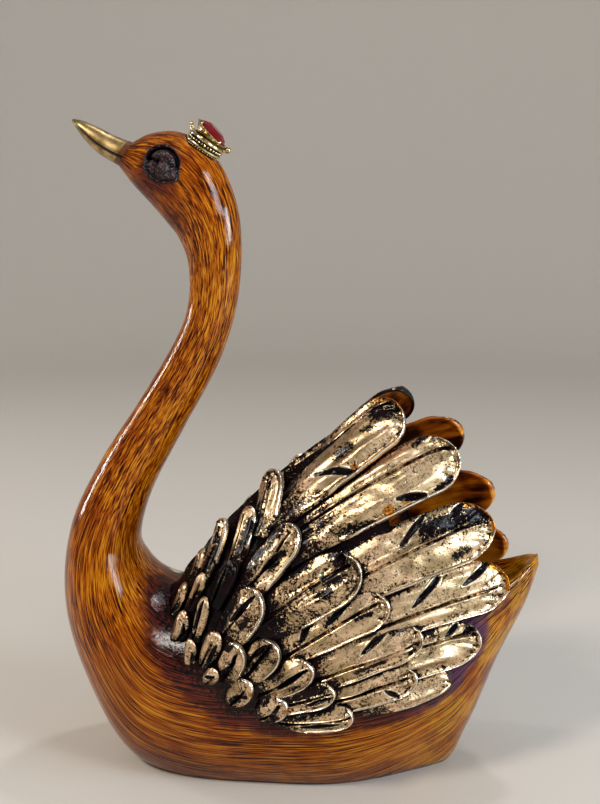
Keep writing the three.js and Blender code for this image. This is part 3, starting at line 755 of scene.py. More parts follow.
def eye_meshes(body, material, side):
    """The socket to cut into the side of the head, and the carved eye that fills it."""
    tree = BVHTree.FromObject(body, bpy.context.evaluated_depsgraph_get())
    turns, rings = EYE_GRID
    angle = np.linspace(0, 2 * math.pi, turns, endpoint=False)[None, :]
    edge = eye_edge(angle)

    def layers(reach, outer, inner):
        """A closed plate laid on the head, its two faces at heights that depend on the place."""
        share = np.linspace(reach, 0, rings, endpoint=False)[:, None]
        x, z = share * edge * np.cos(angle), share * edge * np.sin(angle)
        ground, normal = np.empty((*x.shape, 3)), np.empty((*x.shape, 3))
        for i in np.ndindex(x.shape):
            start = Vector((EYE_CENTRE[0] + x[i], side * 60, EYE_CENTRE[1] + z[i])) * MM
            hit = tree.ray_cast(start, Vector((0, -side, 0)))
            ground[i], normal[i] = np.array(hit[0]) / MM, hit[1]
        over = ground + normal * outer(x, z)[..., None]
        below = ground + normal * inner(x, z)[..., None]
        points = np.concatenate([over[::-1], below])
        return points, np.concatenate([x[::-1], x]), np.concatenate([z[::-1], z])

    def plate(name, parts):
        points, x, z = parts
        grain = np.stack([x, z, 0 * x], axis=-1)
        r = np.hypot(x, z)
        hollow = smoothstep(0.0, -1.0, eye_height(x, z))
        wear = np.stack([hollow, smoothstep(0, EYE_REACH, r), 0 * r], axis=-1)
        return loft_mesh(name, points, [material], grain=grain, wear=wear)

    socket = plate("socket", layers(0.95, lambda x, z: 5 + 0 * x, lambda x, z: -2.5 + 0 * x))
    eye = plate("eye", layers(1.03, eye_height, lambda x, z: -3.2 + 0 * x))
    return socket, eye


# Crown


def ball(name, centre, radius, segments, material):
    bm = bmesh.new()
    bmesh.ops.create_uvsphere(bm, u_segments=segments, v_segments=max(4, segments // 2), radius=radius)
    points = np.array([v.co for v in bm.verts]) + centre
    faces = [tuple(v.index for v in f.verts) for f in bm.faces]
    bm.free()
    return make_mesh(name, points, faces, [material])


def crown_matrix():
    return Matrix.Translation(CROWN_CENTRE) @ Matrix.Rotation(CROWN_TILT, 4, "Y")


def setting_matrix():
    shift = Matrix.Translation((-SETTING_SHIFT, 0, SETTING_HEIGHT / 2))
    return crown_matrix() @ shift @ Matrix.Rotation(SETTING_TILT, 4, "Y")


def turned(name, rows, segments, matrix, material):
    """A lathed solid from (radius, height, darkness) rows that start and end on the axis."""
    rows = np.asarray(rows, float)
    middle = rows[1:-1]
    angle = np.linspace(0, 2 * math.pi, segments, endpoint=False)
    ring = np.stack(
        [middle[:, :1] * np.cos(angle), middle[:, :1] * np.sin(angle), middle[:, 1:2] + 0 * angle], axis=-1
    ).reshape(-1, 3)
    points = np.vstack([ring, (0, 0, rows[0, 1]), (0, 0, rows[-1, 1])])
    m = np.array(matrix)
    points = points @ m[:3, :3].T + m[:3, 3]
    wear = np.zeros((len(points), 3))
    wear[: len(ring), 0] = np.repeat(middle[:, 2], segments)
    return make_mesh(name, points, loft_faces(len(middle), segments), [material], wear=wear)


def crown_piece(material):
    R, r, H = RING_RADIUS, RING_RADIUS - RING_WALL, RING_HEIGHT
    floor, wall = H - 1.4, R - 0.3
    ring_rows = [
        (0, floor - 0.9, 1), (r, floor - 0.9, 1), (r, 0, 1), (wall, 0, 0.8), (wall, 0.55, 1),
        (R + 0.05, 0.62, 0.2), (R + 0.3, 0.8, 0), (R + 0.36, 1.05, 0), (R + 0.3, 1.3, 0),
        (R + 0.05, 1.45, 0.3), (wall - 0.1, 1.55, 1), (wall - 0.1, 2.85, 1), (R + 0.05, 2.95, 0.3),
        (R + 0.32, 3.15, 0),
        (R + 0.38, 3.45, 0), (R + 0.3, 3.75, 0), (R + 0.1, 3.95, 0.1), (R - 0.3, H, 0.3),
        (r, H, 0.5), (r, floor, 1), (0, floor, 1),
    ]
    ring = turned("crown_fine", ring_rows, 96, crown_matrix(), material)
    half = SETTING_HEIGHT / 2
    waist, rim = SETTING_WAIST, SETTING_RADIUS
    cup_rows = [
        (0, -0.6, 1), (waist, -0.6, 0.9), (waist + 0.12, 0.1, 0.3), (waist + 0.75, 1.2, 0.1),
        (rim - 0.35, half - 0.75, 0.1), (rim - 0.12, half - 0.5, 0.35), (rim + 0.05, half - 0.35, 0),
        (rim + 0.08, half - 0.15, 0), (rim - 0.05, half, 0), (rim - SETTING_WALL + 0.12, half, 0),
        (rim - SETTING_WALL, half - 0.12, 0.7), (waist - SETTING_WALL, 0.4, 1), (0, 0.4, 1),
    ]
    parts = [turned("cup", cup_rows, 80, setting_matrix(), material)]
    place = crown_matrix()
    for count, out, height, radius in BEADS:
        for i in range(count):
            turn = 2 * math.pi * (i + 0.5) / count
            centre = place @ Vector(around(wall + out, turn, height))
            parts.append(ball("bead", centre, radius, 10, material))
    for turn, out, up, radius in POINTS:
        spin = place @ Matrix.Rotation(math.radians(turn), 4, "Z")
        foot, tip = Vector((R - 0.3, 0, H - 0.5)), Vector((R + out, 0, H + up))
        lean = Vector((0, 0, 1)).rotation_difference(tip - foot).to_matrix().to_4x4()
        length = (tip - foot).length
        rows = [(0, -0.3, 0.5), (0.75, -0.3, 0.5), (0.6, 0.3 * length, 0.2), (STEM_RADIUS, 0.7 * length, 0.2),
                (STEM_RADIUS, length, 0.2), (0, length, 0.2)]
        parts.append(turned("stem", rows, 16, spin @ Matrix.Translation(foot) @ lean, material))
        parts.append(ball("ball", spin @ tip, radius, 24, material))
    # Claws that hold the stone: small rounded points on the rim.
    for i in range(CLAWS):
        spin = setting_matrix() @ Matrix.Rotation(2 * math.pi * (i + 0.5) / CLAWS, 4, "Z")
        rows = [
            (0, -0.5, 0.2), (0.42, -0.5, 0.2), (0.42, 0.2, 0), (0.3, 0.5, 0), (0.12, 0.68, 0), (0, 0.7, 0),
        ]
        parts.append(turned("claw", rows, 14, spin @ Matrix.Translation((rim - 0.42, 0, half)), material))
    crown = as_object(ring)
    merged(crown, "UNION", parts)
    drop_pockets(crown.data)
    crown.data.set_sharp_from_angle(angle=CROWN_SHARP)
    return crown


def stone_piece(material):
    """A round cut: a cone below the girdle and two tiers of facets under a flat table above it."""
    half = SETTING_HEIGHT / 2
    girdle = SETTING_RADIUS - SETTING_WALL - SEAT_CLEARANCE
    tiers = [
        (SETTING_WAIST - SETTING_WALL - SEAT_CLEARANCE, 0.4 + SEAT_CLEARANCE, 0.0), (girdle, half, 0.5),
        (girdle, half + 0.3, 0.5), (0.5 * (girdle + STONE_TABLE) + 0.45, half + 0.62 * STONE_RISE, 0.0),
        (STONE_TABLE, half + STONE_RISE, 0.5),
    ]
    bm = bmesh.new()
    rings = []
    for radius, height, turn in tiers:
        angles = [2 * math.pi * (k + turn) / STONE_SIDES for k in range(STONE_SIDES)]
        places = [Vector(around(radius, a, height)) for a in angles]
        rings.append([bm.verts.new(setting_matrix() @ place * MM) for place in places])
    bm.faces.new(rings[0][::-1])
    bm.faces.new(rings[-1])
    for tier, (low, high) in enumerate(zip(rings, rings[1:])):
        ahead = 1 if tiers[tier][2] > tiers[tier + 1][2] else 0
        for k in range(STONE_SIDES):
            after = (k + 1) % STONE_SIDES
            if tiers[tier][2] == tiers[tier + 1][2]:
                bm.faces.new((low[k], low[after], high[after], high[k]))
            else:
                bm.faces.new((low[k], low[after], high[(k + ahead) % STONE_SIDES]))
                bm.faces.new((high[k], high[after], low[(k + 1 - ahead) % STONE_SIDES]))
    bmesh.ops.recalc_face_normals(bm, faces=bm.faces)
    mesh = bpy.data.meshes.new("crown_stone_fine")
    bm.to_mesh(mesh)
    bm.free()
    mesh.materials.append(material)
    return as_object(mesh)


# Shading held on the finished mesh

CREVICE_REACH = 5.0  # how far each ray looks for a wall
CREVICE_RAYS = 10
CREVICE_LIFT = 0.05  # how far over the surface the rays start
SHADE_REACH = 20.0  # farther from the feathers than this there is no painted shade
NO_FEATHER_NEAR = 99.0
FOOT_HEIGHT = 2.2  # the painted shade along the foot is this high


def point_attribute(mesh, name, values):
    layer = mesh.attributes.new(name, "FLOAT", "POINT")
    layer.data.foreach_set("value", np.asarray(values, np.float32))


def coordinates(mesh):
    return read(mesh.vertices, "co", float, 3).reshape(-1, 3)


def material_members(mesh):
    """For each vertex, whether it lies on a face of each material slot."""
    slots = read(mesh.polygons, "material_index", np.int32)
    totals = read(mesh.polygons, "loop_total", np.int32)
    corners = read(mesh.loops, "vertex_index", np.int32)
    member = np.zeros((len(mesh.vertices), len(mesh.materials)), bool)
    member[corners, np.repeat(slots, totals)] = True
    return member


def smoothed(mesh, values, rounds):
    a, b = read(mesh.edges, "vertices", np.int32, 2).reshape(-1, 2).T
    count = np.bincount(a, minlength=len(values)) + np.bincount(b, minlength=len(values)) + 1
    for _ in range(rounds):
        near = np.bincount(a, values[b], len(values)) + np.bincount(b, values[a], len(values))
        values = (values + near) / count
    return values


def crevices(thing, wanted):
    """How shut in each wanted vertex is, from 0 to 1, by rays sent out from it and how soon they hit."""
    mesh = thing.data
    tree = BVHTree.FromObject(thing, bpy.context.evaluated_depsgraph_get())
    place = coordinates(mesh)
    normal = read(mesh.vertex_normals, "vector", float, 3).reshape(-1, 3)
    reach = CREVICE_REACH * MM
    k = np.arange(CREVICE_RAYS) + 0.5
    height = 1 - 0.8 * k / CREVICE_RAYS
    turn = k * math.pi * (3 - math.sqrt(5))
    flat = np.sqrt(1 - height**2)
    local = np.stack([flat * np.cos(turn), flat * np.sin(turn), height], axis=-1)
    helper = np.where(np.abs(normal[:, :1]) > 0.8, (0.0, 1.0, 0.0), (1.0, 0.0, 0.0))
    side = unit(np.cross(helper, normal))
    other = np.cross(normal, side)
    out = np.zeros(len(place))
    start = (place + normal * (CREVICE_LIFT * MM)).tolist()
    for i in np.flatnonzero(wanted):
        rays = local[:, :1] * side[i] + local[:, 1:2] * other[i] + local[:, 2:] * normal[i]
        total = 0.0
        for ray in rays.tolist():
            distance = tree.ray_cast(start[i], ray, reach)[3]
            if distance is not None:
                total += 1 - 0.6 * distance / reach
        out[i] = total / CREVICE_RAYS
    return out


# Places on the lacquer with painted shade: centre, radius and depth. Y is given for both sides at once.
DARK_PLACES = (
    ((-42, 9, 207), 9.0, 0.8),
    ((-47, 5, 200), 9.0, 0.65),
    ((-39, 5, 190), 9.0, 0.55),
    ((-33, 6, 178), 8.0, 0.35),
    ((-54, 4, 211), 6.0, 0.6),
    ((-38, 4, 214), 13.0, 0.5),
    ((-44, 0, 68), 9.0, 0.35),
)
GOLD_SMEAR = ((-42.5, 10.0, 64.8), 2.8)


def painted_shade(place, from_gilt):
    """How strong the painted purple-brown shade is on the lacquer, from the distance to the nearest feather,
    round the places listed above and low down on the hull.
    """
    x = place[:, 0]
    reach = np.interp(x, (-60, -30, 0, 40, 80), (17, 15, 11, 14, 11))
    depth = np.interp(x, (-60, -30, 0, 40, 80), (1.0, 1.0, 1.0, 0.9, 0.7))
    shade = depth * smoothstep(reach, 0.15 * reach, from_gilt)
    both = np.stack([x, np.abs(place[:, 1]), place[:, 2]], axis=-1)
    for centre, radius, amount in DARK_PLACES:
        away = np.linalg.norm(both - centre, axis=-1)
        shade = np.maximum(shade, amount * smoothstep(1.5 * radius, 0.3 * radius, away))
    z = place[:, 2]
    low = np.maximum(0.7 * smoothstep(FOOT_HEIGHT, 0.4, z), 0.36 * smoothstep(34, 6, z))
    return np.maximum(shade, low * np.where(z < FOOT_HEIGHT, 1, smoothstep(70, 30, x)))


def add_shading(thing, lacquer, gilt):
    mesh = thing.data
    member = material_members(mesh)
    slot = {material.name: i for i, material in enumerate(mesh.materials)}
    on_lacquer, on_gilt = member[:, slot[lacquer.name]], member[:, slot[gilt.name]]
    place = coordinates(mesh)
    # How shut in each place is: it darkens the feathers as painted shade in their gaps.
    shut = crevices(thing, ~(on_lacquer & ~on_gilt))
    point_attribute(mesh, "crevice", smoothed(mesh, shut, 1))
    polygons = [list(f.vertices) for f in mesh.polygons if f.material_index == slot[gilt.name]]
    tree = BVHTree.FromPolygons(place.tolist(), polygons)
    away = np.full(len(place), NO_FEATHER_NEAR)
    for i in np.flatnonzero(on_lacquer):
        distance = tree.find_nearest(place[i].tolist(), SHADE_REACH * MM)[3]
        if distance is not None:
            away[i] = distance / MM
    # Painted shade: darker near the feathers, round the eye, under the head, along the foot and low on the
    # hull.
    point_attribute(mesh, "shade", painted_shade(place / MM, away))
    smear = np.linalg.norm(place / MM - GOLD_SMEAR[0], axis=-1)
    point_attribute(mesh, "smear", smoothstep(1.2 * GOLD_SMEAR[1], 0.5 * GOLD_SMEAR[1], smear))


# Materials


class Nodes:
    """A small helper for building one material's node tree."""

    def __init__(self, name):
        self.material = bpy.data.materials.new(name)
        self.material.use_nodes = True
        self.tree = self.material.node_tree
        self.shader = self.tree.nodes["Principled BSDF"]

    def add(self, kind, inputs=None, **settings):
        node = self.tree.nodes.new(kind)
        for key, value in settings.items():
            setattr(node, key, value)
        for key, value in (inputs or {}).items():
            self.set(node.inputs[key], value)
        return node

    def set(self, socket, value):
        if isinstance(value, bpy.types.NodeSocket):
            self.tree.links.new(value, socket)
        else:
            socket.default_value = value

    def math(self, operation, a, b=0.0):
        node = self.add("ShaderNodeMath", operation=operation)
        self.set(node.inputs[0], a)
        self.set(node.inputs[1], b)
        return node.outputs[0]

    def sum(self, *terms):
        """The sum of (value, weight) pairs."""
        total = 0.0
        for value, weight in terms:
            total = self.math("ADD", self.times(value, weight), total)
        return total

    def times(self, a, b):
        return self.math("MULTIPLY", a, b)

    def larger(self, a, b):
        return self.math("MAXIMUM", a, b)

    def attribute(self, name):
        node = self.add("ShaderNodeAttribute", attribute_name=name, attribute_type="GEOMETRY")
        return self.parts(node.outputs["Vector"])

    def parts(self, vector):
        return self.add("ShaderNodeSeparateXYZ", {"Vector": vector}).outputs

    def number(self, name):
        return self.add("ShaderNodeAttribute", attribute_name=name, attribute_type="GEOMETRY").outputs["Fac"]

    def place(self):
        """The place on the object, in millimetres."""
        metres = self.add("ShaderNodeTexCoord").outputs["Object"]
        node = self.add("ShaderNodeVectorMath", {"Vector": metres, "Scale": 1000.0}, operation="SCALE")
        return node.outputs[0]

    def vector(self, x, y, z):
        return self.add("ShaderNodeCombineXYZ", {"X": x, "Y": y, "Z": z}).outputs[0]

    def noise(self, vector, scale, detail=3.0, roughness=0.55, distortion=0.0):
        node = self.add(
            "ShaderNodeTexNoise",
            {"Vector": vector, "Scale": scale, "Detail": detail, "Roughness": roughness,
             "Distortion": distortion},
        )
        return node.outputs["Fac"]

    def ramp(self, value, stops):
        node = self.add("ShaderNodeValToRGB", {"Fac": value})
        elements = node.color_ramp.elements
        while len(elements) < len(stops):
            elements.new(0.5)
        for element, (place, colour) in zip(elements, stops):
            element.position = place
            element.color = (*colour, 1)
        return node.outputs["Color"]

    def mix(self, factor, a, b):
        node = self.add("ShaderNodeMix", data_type="RGBA")
        self.set(node.inputs["Factor"], factor)
        for socket, value in ((node.inputs[6], a), (node.inputs[7], b)):
            self.set(socket, (*value, 1) if isinstance(value, tuple) else value)
        return node.outputs[2]

    def blend(self, factor, a, b):
        node = self.add("ShaderNodeMix", data_type="FLOAT")
        for socket, value in zip((node.inputs[0], node.inputs[2], node.inputs[3]), (factor, a, b)):
            self.set(socket, value)
        return node.outputs[0]

    def step(self, value, low, high):
        """0 below low and 1 above high, or the other way round where low is the larger."""
        node = self.add("ShaderNodeMapRange", interpolation_type="SMOOTHSTEP")
        for key, number in (("Value", value), ("From Min", low), ("From Max", high)):
            self.set(node.inputs[key], number)
        return node.outputs[0]

    def bump(self, height, strength, distance, normal=None):
        node = self.add("ShaderNodeBump", {"Height": height, "Strength": strength, "Distance": distance})
        if normal is not None:
            self.set(node.inputs["Normal"], normal)
        return node.outputs[0]

    def finish(self, **values):
        for key, value in values.items():
            self.set(self.shader.inputs[key.replace("_", " ")], value)
        return self.material


def lacquer_material():
    """Amber lacquer with fine dark brush streaks along the body, under a glossy clear coat, with painted
    shade near the feathers.
    """
    n = Nodes("amber_lacquer")
    along, round_x, round_y = n.attribute("grain")
    doublings, _, _ = n.attribute("wear")
    shade, smear = n.number("shade"), n.number("smear")
    place = n.place()
    rearward, _, _ = n.parts(place)

    def streaks(scale, stretch, detail, distortion):
        """Noise drawn out along the body, drawn for three body radii and blended between them."""
        fields = []
        for k, longer in enumerate((1.0, 0.6, 0.3)):
            radius = NARROW_RADIUS * 2**k
            across = [n.times(value, radius) for value in (round_x, round_y)]
            vector = n.vector(n.times(along, stretch * longer), *across)
            fields.append(n.noise(vector, scale, detail, 0.5, distortion))
        first = n.blend(n.step(doublings, 0.35, 0.65), fields[0], fields[1])
        return n.blend(n.step(doublings, 1.35, 1.65), first, fields[2])

    lines = streaks(2.5, 0.08, 3.0, 0.6)
    finest = streaks(4.2, 0.07, 2.0, 0.4)
    broad = streaks(0.4, 0.14, 2.0, 0.5)
    patches = n.noise(place, 0.035, 2.0, 0.5, 0.6)
    tone = n.sum((lines, 0.85), (finest, 0.55), (broad, 0.20), (patches, 0.20), (1.0, -0.11))
    colour = n.ramp(
        tone,
        [(0.655, (0.016, 0.003, 0.001)), (0.715, (0.080, 0.014, 0.001)), (0.785, (0.22, 0.048, 0.002)),
         (0.865, (0.34, 0.100, 0.004)), (0.94, (0.48, 0.215, 0.012))],
    )
    rear = n.step(rearward, 35.0, 60.0)
    yellow = n.times(n.step(n.noise(place, 0.07, 3.0, 0.6), 0.42, 0.56), n.step(tone, 0.68, 0.84))
    colour = n.mix(n.times(yellow, n.times(rear, 0.6)), colour, (0.50, 0.25, 0.012))
    cloud = n.noise(place, 0.22, 3.0, 0.6, 0.4)
    uneven = n.noise(place, 0.8, 3.0, 0.65)
    # Painted shade, dark purple-brown with the streaks showing through; towards the tail its lighter tone
    # turns violet, a painted reflection.
    in_painted_shade = n.step(n.sum((shade, 1.0), (cloud, 0.7), (lines, 0.4)), 0.82, 1.35)
    shade_and_violet_reflection = n.mix(rear, (0.13, 0.022, 0.012), (0.10, 0.035, 0.075))
    painted_shade_colour = n.mix(n.step(lines, 0.42, 0.6), (0.010, 0.003, 0.0025), shade_and_violet_reflection)
    colour = n.mix(in_painted_shade, colour, painted_shade_colour)
    # Where the painted shade is deepest it is near black.
    deepest_shade = n.step(n.sum((shade, 1.0), (uneven, 0.5)), 1.15, 1.3)
    colour = n.mix(deepest_shade, colour, (0.004, 0.002, 0.003))
    specks = n.step(n.noise(place, 1.1, 2.0, 0.5), 0.74, 0.77)
    colour = n.mix(n.times(specks, 0.5), colour, (0.55, 0.38, 0.22))
    gold = n.step(n.sum((smear, 1.0), (n.noise(place, 0.8, 3.0, 0.6), 0.6)), 0.7, 0.8)
    colour = n.mix(gold, colour, (0.70, 0.52, 0.30))
    depth = n.math("ADD", 0.02, n.times(n.times(shade, shade), 0.12))
    texture = n.bump(n.sum((n.times(uneven, depth), 1.0), (lines, 0.05)), 1.0, 0.001)
    return n.finish(
        Base_Color=colour, Roughness=0.5, Specular_IOR_Level=0.0, Normal=n.bump(lines, 0.15, 0.0002),
        Coat_Weight=1.0, Coat_Roughness=0.06, Coat_IOR=1.36, Coat_Normal=texture,
    )


def gilt_material():
    """Pale gold leaf rubbed over glossy black: black stays in the hollows, roots, stains and specks, deepened
    by painted shade in the gaps; the rims carry a painted highlight.
    """
    n = Nodes("rubbed_gilt")
    along, across, seed = n.attribute("grain")
    hollow, stain_and_shade, rust = n.attribute("wear")
    edge, quill, cut = n.attribute("lines")
    crevice = n.number("crevice")
    place = n.place()
    out = n.math("ABSOLUTE", across)
    over_barb, down_barb = n.math("SUBTRACT", along, out), n.math("ADD", along, out)

    def barbs(over, down, scale, detail, roughness):
        """Noise drawn out along the barbs, which slant from the quill towards the tip on both sides."""
        vector = n.vector(n.times(over_barb, over), n.times(down_barb, down), seed)
        return n.noise(vector, scale, detail, roughness, 0.3)

    def band(value, start, full, fade, end):
        """1 between full and fade, and 0 outside start and end."""
        return n.times(n.step(value, start, full), n.step(value, end, fade))

    blotches = barbs(1.0, 0.5, 0.16, 3.0, 0.6)
    marks = barbs(1.0, 0.6, 0.75, 3.0, 0.65)
    grit = n.noise(place, 2.2, 3.0, 0.6)
    rim, inside_rim = band(edge, 0.05, 0.4, 0.85, 1.25), band(edge, 1.2, 1.5, 1.8, 2.4)
    from_quill = n.math("ABSOLUTE", quill)
    ribs, groove = band(from_quill, 0.35, 0.6, 0.8, 1.15), n.step(from_quill, 0.45, 0.1)
    slit, lip = n.step(n.sum((cut, 1.0), (grit, 0.5)), 0.35, 0.2), band(cut, 0.05, 0.25, 0.4, 0.8)
    # Blacker where the face is shut in: painted shade in the gaps, over the black ground.
    level = n.sum(
        (n.step(crevice, 0.15, 0.65), 0.36), (hollow, 0.05), (stain_and_shade, 0.20), (inside_rim, 0.05),
        (groove, 0.06), (rim, -0.12), (ribs, -0.04),
    )
    ragged = n.noise(place, 1.1, 4.0, 0.7, 0.5)
    field = n.sum((blotches, 0.25), (marks, 0.45), (grit, 0.30), (ragged, 0.45), (level, 1.0), (1.0, -0.225))
    black = n.step(field, 0.612, 0.625)
    clustered = n.noise(place, 0.14, 2.0, 0.5)
    specks = n.step(n.sum((n.noise(place, 3.2, 2.0, 0.6), 1.0), (clustered, 0.35)), 0.80, 0.82)
    black = n.larger(n.larger(black, specks), slit)
    tint = n.noise(place, 0.09, 3.0, 0.55)
    gold = n.ramp(
        tint, [(0.36, (0.48, 0.36, 0.21)), (0.5, (0.73, 0.54, 0.35)), (0.64, (0.86, 0.62, 0.42))]
    )
    worn = n.times(n.step(marks, 0.5, 0.65), 0.5)
    brown = n.larger(worn, n.step(field, 0.52, 0.60))
    gold = n.mix(n.times(brown, 0.75), gold, (0.22, 0.15, 0.065))
    # Painted highlight: the rolled rims and the cuts' lips are painted paler, as bright lines of light.
    painted_rim_highlight = n.sum((rim, 0.8), (lip, 0.3))
    gold = n.mix(painted_rim_highlight, gold, (0.92, 0.84, 0.70))
    rusted = n.step(n.sum((rust, 0.45), (marks, 0.6), (grit, 0.3)), 0.66, 0.74)
    gold = n.mix(rusted, gold, (0.55, 0.22, 0.03))
    ink = n.mix(n.step(blotches, 0.45, 0.62), (0.003, 0.002, 0.003), (0.012, 0.004, 0.006))
    colour = n.mix(black, gold, ink)
    metal = n.math("SUBTRACT", 0.96, n.times(black, 0.96))
    satin = n.sum((marks, 0.22), (rim, -0.12), (1.0, 0.23))
    lumps = n.times(n.noise(place, 0.9, 2.0, 0.5), black)
    relief = n.sum(
        (rim, 0.22), (ribs, 0.16), (groove, -0.16), (lip, 0.18), (slit, -0.3), (marks, 0.05), (grit, 0.07),
        (black, -0.06), (lumps, 0.10),
    )
    normal = n.bump(relief, 1.0, 0.001)
    return n.finish(
        Base_Color=colour, Metallic=metal, Roughness=n.blend(black, satin, 0.2), Normal=normal,
        Specular_IOR_Level=0.0, Coat_Weight=n.blend(black, 0.2, 0.9), Coat_Roughness=0.04, Coat_IOR=1.3,
        Coat_Normal=normal,
    )


def inner_material():
    """The feathers' inner faces: amber to dark brown under gloss, black at the rims, and painted shade where
    they are shut in.
    """
    n = Nodes("inner_lacquer")
    along, across, seed = n.attribute("grain")
    rim, groove, edge = n.attribute("wear")
    crevice = n.number("crevice")
    streak = n.noise(n.vector(n.times(along, 0.15), across, seed), 0.45, 3.0, 0.6, 0.4)
    cloud = n.noise(n.vector(along, across, seed), 0.07, 2.0, 0.5)
    tone = n.sum((streak, 0.35), (cloud, 0.65), (edge, 0.05), (groove, -0.06))
    colour = n.ramp(
        tone, [(0.42, (0.022, 0.006, 0.003)), (0.47, (0.13, 0.030, 0.003)), (0.53, (0.34, 0.095, 0.006)),
               (0.61, (0.55, 0.22, 0.015))]
    )
    # Black at the rims, grooves and dark streaks, and as painted shade where the face is shut in.
    dark = n.sum((rim, 0.85), (groove, 0.2), (n.step(crevice, 0.35, 0.85), 0.6), (streak, 0.4))
    colour = n.mix(n.step(dark, 0.60, 0.72), colour, (0.005, 0.003, 0.003))
    normal = n.bump(n.sum((streak, 0.25), (groove, -0.3)), 1.0, 0.001)
    return n.finish(
        Base_Color=colour, Roughness=0.35, Specular_IOR_Level=0.1, Normal=normal,
        Coat_Weight=1.0, Coat_Roughness=0.06, Coat_IOR=1.42, Coat_Normal=normal,
    )


def bill_material():
    """Bright old gold with a black mouth line and a brown ring where the bill leaves the head."""
    n = Nodes("antique_gold")
    groove, root, _ = n.attribute("wear")
    place = n.place()
    cloud = n.noise(place, 0.28, 3.0, 0.6)
    gold = n.ramp(cloud, [(0.35, (0.22, 0.14, 0.05)), (0.5, (0.36, 0.25, 0.11)), (0.65, (0.48, 0.35, 0.18))])
    grit = n.noise(place, 1.6, 3.0, 0.6)
    line = n.step(n.sum((groove, 1.0), (grit, 0.7)), 0.75, 0.9)
    specks = n.step(grit, 0.66, 0.69)
    dark = n.larger(line, specks)
    brown = n.step(n.sum((root, 1.0), (grit, 0.8)), 0.85, 1.0)
    colour = n.mix(dark, n.mix(brown, gold, (0.10, 0.035, 0.006)), (0.012, 0.006, 0.004))
    cover = n.larger(dark, brown)
    return n.finish(
        Base_Color=colour, Metallic=n.math("SUBTRACT", 0.96, n.times(cover, 0.9)),
        Roughness=n.math("ADD", 0.28, n.times(cloud, 0.18)), Normal=n.bump(grit, 0.2, 0.00012),
        Coat_Weight=0.3, Coat_Roughness=0.12,
    )


def eye_material():
    """Purple-brown under a wet gloss, with painted shade, near black, in its hollows."""
    n = Nodes("eye_brown")
    hollow, _, _ = n.attribute("wear")
    place = n.place()
    cloud = n.noise(place, 0.6, 4.0, 0.65, 0.5)
    fine = n.noise(place, 1.0, 2.0, 0.6, 0.3)
    colour = n.ramp(
        cloud,
        [(0.38, (0.003, 0.001, 0.0015)), (0.52, (0.014, 0.004, 0.005)), (0.66, (0.07, 0.018, 0.024))],
    )
    # Painted shade: the hollows are near black.
    colour = n.mix(n.step(hollow, 0.1, 0.7), colour, (0.001, 0.0005, 0.001))
    return n.finish(
        Base_Color=colour, Roughness=0.3, Specular_IOR_Level=0.1, Normal=n.bump(cloud, 0.4, 0.0004),
        Coat_Weight=n.blend(n.step(hollow, 0.1, 0.6), 1.0, 0.05), Coat_Roughness=0.04, Coat_IOR=1.46,
        Coat_Normal=n.bump(fine, 1.0, 0.0011),
    )


def crown_material():
    """Small cast metal with a worn antique-gold finish, dark in its grooves."""
    n = Nodes("crown_metal")
    hollow, _, _ = n.attribute("wear")
    cloud = n.noise(n.place(), 0.8, 3.0, 0.6)
    dark = n.step(n.sum((hollow, 1.0), (cloud, 0.6)), 0.52, 0.85)
    gold = n.ramp(cloud, [(0.4, (0.36, 0.28, 0.13)), (0.52, (0.60, 0.48, 0.27)), (0.64, (0.88, 0.76, 0.52))])
    colour = n.mix(dark, gold, (0.012, 0.007, 0.003))
    return n.finish(
        Base_Color=colour, Metallic=n.math("SUBTRACT", 1.0, n.times(dark, 0.8)),
        Roughness=n.math("ADD", 0.12, n.times(cloud, 0.16)), Normal=n.bump(cloud, 0.15, 0.0001),
    )


def stone_material():
    n = Nodes("red_glass")
    return n.finish(
        Base_Color=(0.26, 0.001, 0.010, 1), Roughness=0.02, IOR=1.6, Transmission_Weight=0.5,
    )


# Scene

CAMERA_FOCAL_PX = 1200.0
IMAGE_HEIGHT_PX = 804.0
SENSOR = 36.0
CAMERA_AZIMUTH = math.radians(5)
CAMERA_ELEVATION = math.radians(12)
CAMERA_PLACE = (38.5, -398.5, 215.2)
LIGHT_TARGET = (0, 0, 0.11)


def add_camera():
    data = bpy.data.cameras.new("camera")
    data.sensor_width = SENSOR
    data.lens = CAMERA_FOCAL_PX / IMAGE_HEIGHT_PX * SENSOR
    data.clip_start = 0.01
    camera = bpy.data.objects.new("camera", data)
    camera.location = Vector(CAMERA_PLACE) * MM
    camera.rotation_euler = (math.pi / 2 - CAMERA_ELEVATION, 0, CAMERA_AZIMUTH)
    bpy.context.scene.collection.objects.link(camera)
    bpy.context.scene.camera = camera


def add_area(name, place, size, power, colour):
    data = bpy.data.lights.new(name, "AREA")
    data.shape = "RECTANGLE"
    data.size, data.size_y = size
    data.energy = power
    data.color = colour
    lamp = bpy.data.objects.new(name, data)
    lamp.location = place
    lamp.rotation_euler = (Vector(LIGHT_TARGET) - Vector(place)).to_track_quat("-Z", "Y").to_euler()
    bpy.context.scene.collection.objects.link(lamp)


